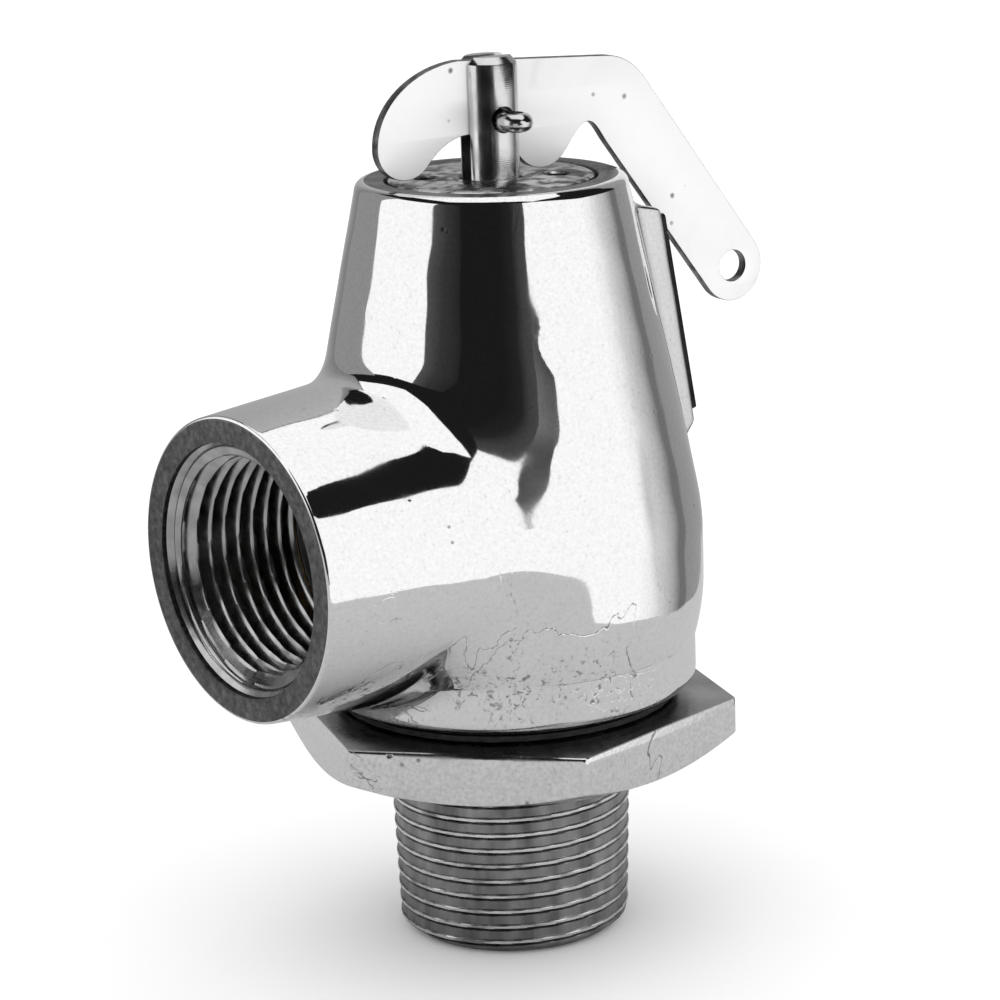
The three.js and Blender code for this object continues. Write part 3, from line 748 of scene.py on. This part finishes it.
def body_casting():
    rim = arc(RIM_CENTRE_R, BODY_TOP - RIM_R, RIM_R, 90, RIM_ANGLE, 10)
    foot = arc(SKIRT_R - FOOT_R, FOOT_Z + FOOT_R, FOOT_R, 0, -90, 7)
    fine = around(PAD_HIGH[1] + 0.1, [0, 0.1, 0.2, 0.32, 0.5])
    fine += around(PAD_LOW[1] - 0.5, [0, 0.15, 0.3, 0.5, 0.75, 1.0, 1.3, 1.6])
    fine += around(SKIRT_TOP, [0.02, 0.12, 0.3])
    plain = np.arange(foot[0][1] + 0.4, rim[-1][1] - 0.3, 0.75)
    wall = merged(plain, fine, 0.2)[::-1]
    rings = [turned_ring(r, z) for r, z in rim]
    kinds = [0] * len(rings)
    rings += [wall_ring(z) for z in wall]
    rings += [turned_ring(r, z) for r, z in foot]
    kinds += [0] * (len(wall) + len(foot))
    window_top = len(rim) + next(i for i, z in enumerate(wall) if z < WINDOW_TOP)
    window_bottom = len(rings) - 1
    rows = window_bottom - window_top

    inner = [
        (SKIRT_R - 1.9, BODY_BOTTOM + 0.3), (SKIRT_R - 1.97, BODY_BOTTOM + 0.08),
        (SKIRT_R - 2.1, BODY_BOTTOM), (BORE_R + 0.1, BODY_BOTTOM), (BORE_R, BODY_BOTTOM + 0.1),
        (BORE_R, BORE_TOP), (BOWL_R, BORE_TOP + 0.4),
    ]
    inner_bottom = len(rings) + len(inner)
    inner += [(BOWL_R, z) for z in np.linspace(BORE_TOP + 0.8, BOWL_TOP - 0.5, rows + 1)]
    inner += [
        (BOWL_R, BOWL_TOP), (CHAMBER_R, BOWL_TOP), (CHAMBER_R, CHAMBER_TOP),
        (HOLE_R, CHAMBER_TOP + 0.8), (HOLE_R, BODY_TOP - 0.35),
        (HOLE_R + 0.08, BODY_TOP - 0.12), (HOLE_R + 0.3, BODY_TOP),
    ]
    rings += [turned_ring(r, z) for r, z in inner]
    faced = 5                       # rings of the faced underside, before the cast ones
    top = 3
    kinds += [1] * faced + [3] * (len(inner) - faced - top) + [1] * top
    inner_top = inner_bottom + rows

    columns = len(rings[0])
    points = np.concatenate(rings)
    angles = column_angles(50)
    left = int(np.argmax(angles > math.pi - WINDOW_HALF))
    right = columns - left

    def in_window(i, j):
        if not left <= j < right:
            return False
        return window_top <= i < window_bottom or inner_bottom <= i < inner_top

    faces, slots = [], []
    total = len(rings)
    for i in range(total):
        below = (i + 1) % total
        for j in range(columns):
            if in_window(i, j):
                continue
            beside = (j + 1) % columns
            corners = [(i, j), (i, beside), (below, beside), (below, j)]
            faces.append(tuple(row * columns + column for row, column in corners))
            slots.append(kinds[i])

    across = list(range(left, right))
    down = list(range(rows))
    outer_loop = [(0, j) for j in across] + [(i, right) for i in down]
    outer_loop += [(rows, j) for j in range(right, left, -1)]
    outer_loop += [(i, left) for i in range(rows, 0, -1)]
    outer = [(window_top + i) * columns + j for i, j in outer_loop]
    inside = [(inner_top - i) * columns + j for i, j in outer_loop]

    more, more_kinds = outlet_rings(points[outer], points[inside])
    count = len(outer)
    first = len(points)
    points = np.concatenate([points] + more)
    loops = [outer] + [list(range(first + k * count, first + (k + 1) * count)) for k in range(len(more))]
    loops.append(inside)
    for k, (upper, lower) in enumerate(zip(loops, loops[1:])):
        kind = more_kinds[min(k, len(more_kinds) - 1)]
        for m in range(count):
            n = (m + 1) % count
            faces.append((upper[m], lower[m], lower[n], upper[n]))
            slots.append(kind)
    materials = [CHROME, MACHINED, OUTLET_THREAD, INTERIOR]
    piece = make_piece("body_shell", points, faces, materials, slots, sharp=38)
    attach(piece, "valve_body")
    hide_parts("body_casting")


# ---------- inlet base: pipe thread, hexagon, nozzle ----------

HEX_FLATS = 45.0
HEX_TURN = 9.0
HEX_BOTTOM = 20.9
HEX_TOP = 26.95
BASE_R = HEX_FLATS / 2
INLET_BORE_R = 9.6
NOZZLE_R = 7.0
SEAT_Z = BASE_HIGH[2]
THREAD_SMALL_R = 13.0
THREAD_LENGTH = 20.2
THREAD_END_R = 11.55                # start of the bevel that leads into the male thread
TOP_FACE_R = 18.8                   # inner edge of the hexagon's turned top
NECK_R = 15.5


def hexagon_radius(angles):
    """Distance from the axis to the hexagon's side, its corners eased by a hair."""
    turned = (np.degrees(angles) - HEX_TURN) % 60
    from_middle = np.radians(turned - 30)
    sharp = BASE_R / np.cos(from_middle)
    return smooth_min(sharp, np.full_like(sharp, BASE_R / math.cos(math.radians(29.6))), 0.12)


def inlet_base():
    steps = [0, 0.25, 0.55, 1.0, 1.8] + list(np.arange(3.5, 57, 1.75)) + [58.2, 59.0, 59.45, 59.75]
    angles = np.radians([HEX_TURN + 60 * k + s for k in range(6) for s in steps])
    rings, kinds = [], []

    def ring(r, z, kind):
        rings.append(polar(r, angles, z))
        kinds.append(np.broadcast_to(kind, angles.shape))

    for r, z in ((INLET_BORE_R, 0.3), (INLET_BORE_R + 0.3, 0), (11.3, 0), (THREAD_END_R, 0.12)):
        ring(r, z, 1)
    groove_depth, band_drop = 0.62, 0.24
    ridge_low, ridge_high = 0.2, 0.38      # shares of the pitch; the groove is below the ridge
    count = 260
    for i in range(1, count + 1):
        z = 0.12 + (THREAD_LENGTH - 0.12) * i / count
        crest = THREAD_SMALL_R + z * THREAD_TAPER
        phase = z / THREAD_PITCH - angles / (2 * math.pi)
        part = phase - np.floor(phase)
        drop = np.interp(part, [0, ridge_low / 2, ridge_low, ridge_high, ridge_high + 0.08, 1],
                         [band_drop, groove_depth, 0, 0, band_drop * 0.7, band_drop])
        fade = np.clip((THREAD_LENGTH - z) / 1.2, 0, 1)
        radius = crest - drop * fade - groove_depth * (1 - fade)
        # The ridge band takes the bright crest finish, whose colour is a painted highlight.
        on_ridge = (part > ridge_low) & (part < ridge_high)
        ring(np.minimum(radius, THREAD_END_R + z * 1.25), z, np.where(on_ridge, 4, 1))
    neck = 12.75
    for r, z in ((neck, THREAD_LENGTH + 0.15), (neck, HEX_BOTTOM - 0.1), (neck + 0.1, HEX_BOTTOM)):
        ring(r, z, 1)
    side = hexagon_radius(angles)
    chamfer_r = BASE_R - 0.6
    slope = 2.1 / (HEX_FLATS / math.sqrt(3) + 0.2 - chamfer_r)
    ring(chamfer_r - 0.12, HEX_BOTTOM, 0)
    ring(chamfer_r + 0.08, HEX_BOTTOM + 0.05, 0)
    for share in (0.5, 0.97):
        reach = chamfer_r + 0.08 + (side - chamfer_r - 0.08) * share
        ring(reach, HEX_BOTTOM + (reach - chamfer_r) * slope, 0)
    low = HEX_BOTTOM + (side - chamfer_r) * slope
    ring(side, low + 0.1, 0)
    for share in (0.35, 0.7):
        ring(side, low + (HEX_TOP - low) * share, 0)
    ring(side, HEX_TOP - 0.22, 0)
    ring(side - 0.06, HEX_TOP - 0.08, 0)
    ring(side - 0.2, HEX_TOP, 3)
    for share in (0.8, 0.6, 0.4, 0.2):
        ring(TOP_FACE_R + (side - 0.2 - TOP_FACE_R) * share, HEX_TOP, 3)
    inner = [
        (TOP_FACE_R, HEX_TOP), (NECK_R + 0.1, HEX_TOP), (NECK_R, HEX_TOP + 0.1), (NECK_R, BODY_BOTTOM),
        (BORE_R - 0.35, BODY_BOTTOM + 0.8), (BORE_R - 0.35, 34.8), (BORE_R - 1.2, 35.6), (10.4, 36),
        (10, 41), (NOZZLE_R + 1.2, SEAT_Z - 0.4), (NOZZLE_R + 1, SEAT_Z), (NOZZLE_R + 0.05, SEAT_Z),
        (NOZZLE_R, SEAT_Z - 0.1), (NOZZLE_R, 30), (INLET_BORE_R, 24),
    ]
    for r, z in inner:
        ring(r, z, 3 if z == HEX_TOP else 2)
    faces = grid_faces(len(rings), len(angles), wrap_rows=True)
    materials = [BASE_PLATE, MALE_THREAD, BRONZE, HEX_TOP_FACE, THREAD_CREST_HIGHLIGHT]
    piece = make_piece("inlet_base_plated", np.concatenate(rings), faces, materials,
                       np.concatenate(kinds), sharp=24)
    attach(piece, "valve_body")
    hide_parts("inlet_base")


# ---------- compression screw, spring ----------

SPRING_ENDS = (55.5, 77.5)          # heights


def compression_screw():
    bore = SPINDLE_R + GAP
    outline = [
        (bore, PLUG_LOW[2] + 0.2), (bore + 0.2, PLUG_LOW[2]), (PLUG_R - 0.8, PLUG_LOW[2]),
        (PLUG_R, PLUG_LOW[2] + 0.8), (PLUG_R, BODY_TOP - 0.45), (PLUG_R - 0.12, BODY_TOP - 0.15),
        (PLUG_R - 0.4, BODY_TOP), (bore + 0.25, BODY_TOP), (bore, BODY_TOP - 0.25),
    ]
    piece = lathe("compression_screw_top", outline, [SPECKLED], 120)
    spanner_radius = 7.2
    turn = math.radians(-39)
    for side in (-1, 1):
        tool = lathe("spanner_hole", [(0, BODY_TOP - 3), (1.35, BODY_TOP - 3), (1.35, BODY_TOP - 0.2),
                                      (1.6, BODY_TOP + 0.05), (1.6, BODY_TOP + 1), (0, BODY_TOP + 1)],
                     [SPECKLED], 40)
        x = side * spanner_radius * math.cos(turn) * MM
        y = side * spanner_radius * math.sin(turn) * MM
        cut(piece, move_mesh(tool, Matrix.Translation((x, y, 0))))
    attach(piece, "valve_body")
    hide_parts("compression_screw")


def spring():
    turns, end_pitch = 6, 2.35
    wire = 1.1
    mean_r = (SPRING_HIGH[0] - SPRING_LOW[0]) / 2 - wire
    turn = np.linspace(0, turns, turns * 60 + 1)
    low, high = SPRING_ENDS
    open_pitch = (high - low - 2 * wire - 2 * end_pitch) / (turns - 2)
    z = low + wire + np.minimum(turn, 1) * end_pitch
    z += np.clip(turn - 1, 0, turns - 2) * open_pitch + np.maximum(turn - turns + 1, 0) * end_pitch
    angle = turn * 2 * math.pi
    outward = polar(1, angle, 0)
    path = outward * mean_r
    path[:, 2] = z
    circle = np.linspace(0, 2 * math.pi, 16, endpoint=False)
    section = wire * 0.99 * np.stack([np.cos(circle), np.sin(circle)], 1)
    piece = sweep("spring_coil", path, section, outward, [SPRING_WIRE])
    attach(piece, "valve_body")
    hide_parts("spring")
    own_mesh(piece)


# ---------- spindle, cotter pin, lever ----------

SPINDLE_TOP = SPINDLE_HIGH[2]
SPINDLE_BOTTOM = SPINDLE_LOW[2]
PIN_HOLE_R = 1.45


def block(name, low, high):
    points = [(x, y, z) for x in (low[0], high[0]) for y in (low[1], high[1]) for z in (low[2], high[2])]
    faces = [(0, 1, 3, 2), (4, 6, 7, 5), (0, 4, 5, 1), (2, 3, 7, 6), (0, 2, 6, 4), (1, 5, 7, 3)]
    return make_piece(name, points, faces, [STEEL])


def spindle():
    groove_r, groove_low, groove_high = 2.5, 52, 53
    outline = [
        (0, SPINDLE_BOTTOM), (0.8, SPINDLE_BOTTOM + 0.05), (1.2, SPINDLE_BOTTOM + 0.2),
        (SPINDLE_R, SPINDLE_BOTTOM + 1.7), (SPINDLE_R, groove_low), (groove_r, groove_low),
        (groove_r, groove_high), (SPINDLE_R, groove_high), (SPINDLE_R, SPINDLE_TOP - 0.85),
        (SPINDLE_R - 0.08, SPINDLE_TOP - 0.7),
        (SPINDLE_R - 0.62, SPINDLE_TOP - 0.08), (SPINDLE_R - 0.78, SPINDLE_TOP), (0, SPINDLE_TOP),
    ]
    piece = lathe("spindle_rod", outline, [STEEL], 128)
    slot_width, slot_bottom = 1.9, 84.2
    cut(piece, block("slot", (-5, -slot_width / 2, slot_bottom), (5, slot_width / 2, SPINDLE_TOP + 1)))
    hole = lathe("hole", [(0, -5), (PIN_HOLE_R, -5), (PIN_HOLE_R, 5), (0, 5)], [STEEL], 48)
    move_mesh(hole, Matrix.Translation((0, 0, PIN_Z * MM)) @ Matrix.Rotation(math.pi / 2, 4, "X"))
    cut(piece, hole)
    turn_to_lever(piece)
    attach(piece, "spindle")
    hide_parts("spindle")


def smooth_path(points, per_span):
    """Catmull-Rom curve through plane points."""
    points = np.array(points, float)
    padded = np.vstack([2 * points[0] - points[1], points, 2 * points[-1] - points[-2]])
    out = []
    for a, b, c, d in zip(padded, padded[1:], padded[2:], padded[3:]):
        t = np.linspace(0, 1, per_span, endpoint=False)[:, None]
        out.append(0.5 * (2 * b + (c - a) * t + (2 * a - 5 * b + 4 * c - d) * t ** 2
                          + (3 * b - a - 3 * c + d) * t ** 3))
    return np.vstack(out + [points[-1:]])


def cotter_pin():
    leg = 0.06
    half = [
        (3.1, 5.1), (2.2, 4.7), (1.05, 4.45), (0.3, 3.95), (leg, 3.1), (leg, 2), (leg, 0),
        (leg, -2), (leg, -3.3), (0.32, -3.9), (0.72, -4.6), (0.85, -5.4), (0.62, -6.1),
    ]
    whole = half + [(0, -6.45)] + [(-x, y) for x, y in half[::-1]]
    flat_path = smooth_path(whole, 7)
    path = np.column_stack([flat_path, np.zeros(len(flat_path))])
    tangents = np.gradient(path, axis=0)
    outward = np.cross((0, 0, 1), tangents)
    wire = 1.02
    bend = np.linspace(-math.pi / 2, math.pi / 2, 13)
    section = [(wire * math.cos(a), wire * math.sin(a)) for a in bend]
    section += [(0.0, 0.5), (0.0, 0.0), (0.0, -0.5)]
    piece = sweep("cotter_wire", path, section, outward, [STEEL])
    turn_to_lever(piece, PIN_Z)
    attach(piece, "spindle")
    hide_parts("cotter_pin")


LEVER_TAIL = (31.5, -20.15, 4.05)   # middle and radius of its round end
LEVER_TAIL_HOLE_R = 1.78


def lever_outline():
    left, right, tail = (-10.9, -2.25, 3.45), (6.3, -2.5, 3.6), LEVER_TAIL
    start = (left[0] - left[2], left[1])
    points = arc(*left, 180, 318, 22)
    points += bezier(points[-1], (-6.9, -2.9), (-5.2, -1.6), (-3, -1.6), 10)
    points += bezier(points[-1], (-1, -1.6), (1.98, -2.75), (3.42, -4.67), 12)
    points += arc(*right, 217, 318, 16)
    points += bezier(points[-1], (10.1, -3.7), (11.1, -1.65), (12.3, -1.65), 10)
    points += bezier(points[-1], (13.3, -1.65), (13.9, -3.1), (14.77, -4.29), 10)
    points += arc(*tail, 216, 396, 28)
    points.append((20, 2.5))
    points += bezier(points[-1], (18.6, 4.3), (17, 5.3), (14.6, 5.4), 10)
    points.append((-4, 6.5))
    points += bezier(points[-1], (-9.5, 6.2), (start[0], 2.6), start, 22)[:-1]
    kept = [points[0]]
    for point in points[1:]:
        if math.dist(point, kept[-1]) > 0.02:
            kept.append(point)
    return kept


def lever():
    thickness = 1.3
    tail_x, tail_y, _ = LEVER_TAIL
    holes = [arc(0, 0, PIN_HOLE_R, 360, 9, 40), arc(tail_x, tail_y, LEVER_TAIL_HOLE_R, 360, 9, 40)]
    piece = flat_piece("lift_lever", [lever_outline()] + holes, thickness, 0.14, [STAMPED, SHEARED])
    for face in piece.data.polygons:
        face.material_index = int(abs(face.normal.z) < 0.75)
    move_mesh(piece, Matrix.Rotation(math.pi / 2, 4, "X"))
    turn_to_lever(piece, PIN_Z)
    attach(piece, "lever")
    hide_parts("lever")


# ---------- nameplate and drive pins ----------

def onto_pad():
    """From a drawing with +Z as the pad's normal, X across and Y up the pad."""
    middle = (PAD_LOW + PAD_HIGH) / 2
    stand = Matrix.Rotation(math.pi / 2, 4, "Y") @ Matrix.Rotation(math.pi / 2, 4, "Z")
    lean = Matrix.Rotation(-PAD_LEAN, 4, "Y")
    return Matrix.Translation((middle[0] * MM, 0, middle[1] * MM)) @ lean @ stand


def nameplate():
    pad_height = float(np.linalg.norm(PAD_LOW - PAD_HIGH))
    wide, high, corner = PAD_HALF_WIDTH - GAP, pad_height / 2 - 0.9, 0.4
    outline = []
    for sx, sy, start in ((1, -1, -90), (1, 1, 0), (-1, 1, 90), (-1, -1, 180)):
        outline += arc(sx * (wide - corner), sy * (high - corner), corner, start, start + 90, 8)
    thickness, middle = 0.6, 0.39   # middle: height of the plate's middle over the pad
    inset, hole_r = 3, 1.05
    heights = (pad_height / 2 - inset, inset - pad_height / 2)
    holes = [arc(0, h, hole_r, 360, 18, 19) for h in heights]
    piece = flat_piece("nameplate_blank", [outline] + holes, thickness, 0.03, [PLATE])
    move_mesh(piece, onto_pad() @ Matrix.Translation((0, 0, middle * MM)))
    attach(piece, "valve_body")
    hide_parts("nameplate")
    head_low = thickness + 0.45
    for i, h in enumerate(heights):
        shank = 0.85
        outline = [(0, -2.4), (shank - 0.25, -2.4), (shank, -1.9), (shank, head_low)]
        outline += arc(0, head_low - 0.9, 1.9, 28, 84, 8) + [(0, head_low + 1)]
        pin = lathe(f"drive_pin_{i + 1}", outline, [STEEL], 48)
        move_mesh(pin, onto_pad() @ Matrix.Translation((0, h * MM, 0)))
        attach(pin, "valve_body")
        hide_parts(f"nameplate_pin_{i + 1}")


# ---------- camera, floor, light ----------

CAMERA_AZIMUTH = math.radians(-39.339)
CAMERA_ELEVATION = math.radians(14.623)
CAMERA_DISTANCE = 365.136
CAMERA_ROLL = math.radians(-1.845)
CAMERA_AIM = np.array([0, 0, 49.215])
CAMERA_SIDEWAYS = 0.609
CAMERA_LENS = 117.98
TOWARD = np.array([math.sin(CAMERA_AZIMUTH), -math.cos(CAMERA_AZIMUTH), 0])
RIGHT = np.array([math.cos(CAMERA_AZIMUTH), math.sin(CAMERA_AZIMUTH), 0])
UP = np.array([0, 0, 1.0])


def camera():
    back = TOWARD * math.cos(CAMERA_ELEVATION) + UP * math.sin(CAMERA_ELEVATION)
    above = np.cross(back, RIGHT)
    across = RIGHT * math.cos(CAMERA_ROLL) + above * math.sin(CAMERA_ROLL)
    upright = -RIGHT * math.sin(CAMERA_ROLL) + above * math.cos(CAMERA_ROLL)
    place = (CAMERA_AIM + RIGHT * CAMERA_SIDEWAYS + back * CAMERA_DISTANCE) * MM
    matrix = Matrix.Identity(4)
    for i, column in enumerate((across, upright, back, place)):
        for j in range(3):
            matrix[j][i] = column[j]
    data = bpy.data.cameras.new("camera")
    data.sensor_width = 36
    data.lens = CAMERA_LENS
    data.shift_x = -0.00698
    data.shift_y = -0.0006
    data.clip_start = 0.01
    eye = add_object("camera", data)
    eye.matrix_world = matrix
    bpy.context.scene.camera = eye


def studio(toward, right, up):
    """A point in millimetres counted towards the camera, to its right, and up."""
    return TOWARD * toward + RIGHT * right + UP * up


def stage_sheet(name, corners, material):
    mesh = bpy.data.meshes.new(name)
    mesh.from_pydata([tuple(np.array(c) * MM) for c in corners], [], [tuple(range(len(corners)))])
    mesh.materials.append(material)
    sheet = add_object(name, mesh)
    return sheet


def floor_material(name, low, high):
    finish = Finish(name, 0.0, 0.9)
    finish.shader.inputs["Specular IOR Level"].default_value = 0.0
    finish.color(finish.noise(9, 3), [(0.3, low), (0.7, high)])
    return finish.material


def hide_from(sheet, *rays):
    for ray in rays:
        setattr(sheet, "visible_" + ray, False)


def floors():
    """A near-white floor, and the greyer one that the chrome sees in its place."""
    reach = 4000
    corners = [(-reach, -reach), (reach, -reach), (reach, reach), (-reach, reach)]
    seen = stage_sheet("floor", [(x, y, 0) for x, y in corners], floor_material("pale_floor", 0.88, 0.9))
    hide_from(seen, "glossy", "diffuse", "shadow")
    mirrored = stage_sheet("floor_mirrored", [(x, y, -0.05) for x, y in corners],
                           floor_material("mirrored_floor", 0.46, 0.5))
    hide_from(mirrored, "camera", "diffuse", "shadow")


def glow(name, stops):
    """Light that changes along the card's length: pairs of share and level."""
    material = bpy.data.materials.new(name)
    material.use_nodes = True
    tree = material.node_tree
    tree.nodes.clear()
    kinds = ("UVMap", "SeparateXYZ", "ValToRGB", "Emission", "OutputMaterial")
    uv, split, ramp, emission, output = (tree.nodes.new("ShaderNode" + kind) for kind in kinds)
    fill_ramp(ramp, stops)
    tree.links.new(uv.outputs[0], split.inputs[0])
    tree.links.new(split.outputs["X"], ramp.inputs["Fac"])
    tree.links.new(ramp.outputs["Color"], emission.inputs["Color"])
    tree.links.new(emission.outputs[0], output.inputs["Surface"])
    return material


def card(name, stops, corners, shares=None):
    """A reflector that only shows in shiny surfaces; corners as (towards, right, up)."""
    sheet = stage_sheet(name, [studio(*c) for c in corners], glow(name + "_glow", stops))
    layer = sheet.data.uv_layers.new()
    for loop, share in zip(layer.data, shares or [0] * len(corners)):
        loop.uv = (share, 0)
    hide_from(sheet, "camera", "diffuse", "shadow")


def standing_card(name, stops, start, end, bottom, top):
    """An upright card between two (towards, right) points; bottom and top at both of its ends."""
    corners = [(*start, bottom[0]), (*end, bottom[1]), (*end, top[1]), (*start, top[0])]
    card(name, stops, corners, [0, 1, 1, 0])


# Places round the valve where reflectors meet: distances towards the camera and to its right.
FRONT = (150, 10)
FRONT_RIGHT = (122, 55.5)
RIGHT_BEND = (92, 70)
RIGHT_END = (28, 86.4)
BACK_RIGHT = (-62, 109.5)
FAR_RIGHT = (-190, 60)
FAR_LEFT = (-190, -60)
BACK_LEFT = (-90, -84)
LEFT_END = (-8, -84)
LEFT_FRONT = (76, -80)
CEILING = 300


def cards():
    white = [(0, 1.12), (1, 1.12)]
    card("card_right_near", white, [(*FRONT_RIGHT, 14), (102, 65.2, 22), (*RIGHT_BEND, 20.4),
                                    (*RIGHT_BEND, 150), (*FRONT_RIGHT, 160)])
    card("card_right", white, [(*RIGHT_BEND, 20.4), (82, 72.5, 18.2), (75, 74.4, 16.4), (70, 75.6, 15),
                               (*RIGHT_END, 15), (*RIGHT_END, 100), (*RIGHT_BEND, 150)])
    fading = [(0, 1.12), (0.15, 0.98), (0.28, 0.74), (0.4, 0.6), (0.53, 0.46), (0.72, 0.18),
              (0.9, 0.18), (1, 0.3)]
    standing_card("card_right_far", fading, RIGHT_END, BACK_RIGHT, (15, 0), (100, 100))
    dark_first = [(0, 0.012), (0.5, 0.02), (0.75, 0.055), (1, 0.07)]
    standing_card("dim_right", dark_first, FRONT, FRONT_RIGHT, (40, 40), (180, 160))
    dim_low = [(122, 55, 54), (97, 66.9, 58), (97, 66.9, 84), (122, 55, 102)]
    card("dim_low", [(0, 0.5), (0.5, 0.2), (1, 0.07)], dim_low, [0, 0, 1, 1])
    standing_card("low_right", white, (150, 44), FRONT_RIGHT, (12, 14), (42, 42))
    above = [(-185, -110), (90, -110), (130, -30), (160, 90), (215, 168), (125, 157), (60, 168),
             (10, 155), (-60, 100), (-185, 60)]
    card("card_above", white, [(*place, CEILING) for place in above])
    standing_card("card_left", white, LEFT_FRONT, LEFT_END, (61, 61), (150, 150))
    dim = [(0, 0.02), (0.6, 0.04), (1, 0.09)]
    standing_card("dim_left", dim, (140, -63), LEFT_FRONT, (30, 61), (150, 150))
    rising = [(0, 0.3), (0.5, 0.36), (1, 0.45)]
    standing_card("back_right", rising, BACK_RIGHT, FAR_RIGHT, (0, 0), (160, 300))
    standing_card("back", [(0, 0.4), (0.5, 0.5), (1, 0.4)], FAR_RIGHT, FAR_LEFT, (0, 0), (300, 300))
    standing_card("back_left_far", [(0, 0.42), (1, 0.22)], FAR_LEFT, BACK_LEFT, (20, 20), (300, 180))
    standing_card("back_left", [(0, 0.3), (1, 0.3)], BACK_LEFT, LEFT_END, (20, 20), (160, 160))


def light():
    """Even light for dull surfaces, and a dark room for shiny ones."""
    world = bpy.data.worlds.new("studio")
    bpy.context.scene.world = world
    world.use_nodes = True
    tree = world.node_tree
    tree.nodes.clear()
    kinds = ("Background", "Background", "LightPath", "MixShader", "OutputWorld")
    bright, dark, path, mix, output = (tree.nodes.new("ShaderNode" + kind) for kind in kinds)
    for background, strength in ((bright, 1.3), (dark, 0.012)):
        background.inputs["Strength"].default_value = strength
        background.inputs["Color"].default_value = (1, 1, 1, 1)
    tree.links.new(path.outputs["Is Glossy Ray"], mix.inputs[0])
    tree.links.new(bright.outputs[0], mix.inputs[1])
    tree.links.new(dark.outputs[0], mix.inputs[2])
    tree.links.new(mix.outputs[0], output.inputs["Surface"])


# ---------- assembly ----------

# These inner pieces keep their CAD mesh.
CAD_FINISHES = {
    # The gasket's near-black colour is painted shade for the recess it sits in.
    FIBRE_IN_PAINTED_SHADE: ["base_gasket"],
    STEEL: ["upper_spring_washer", "lower_spring_washer", "insert_retainer", "insert_screw"],
    BRONZE: ["disc_guide", "disc_holder"],
    RUBBER: ["seat_insert"],
    SPRING_WIRE: ["spindle_clip"],
}

camera()
floors()
cards()
light()
bpy.context.scene.view_settings.view_transform = "Standard"

body_casting()
inlet_base()
compression_screw()
spring()
spindle()
cotter_pin()
lever()
nameplate()
for material, nodes in CAD_FINISHES.items():
    for node in nodes:
        for place in frame["nodes"][node].material_slots:
            place.material = material
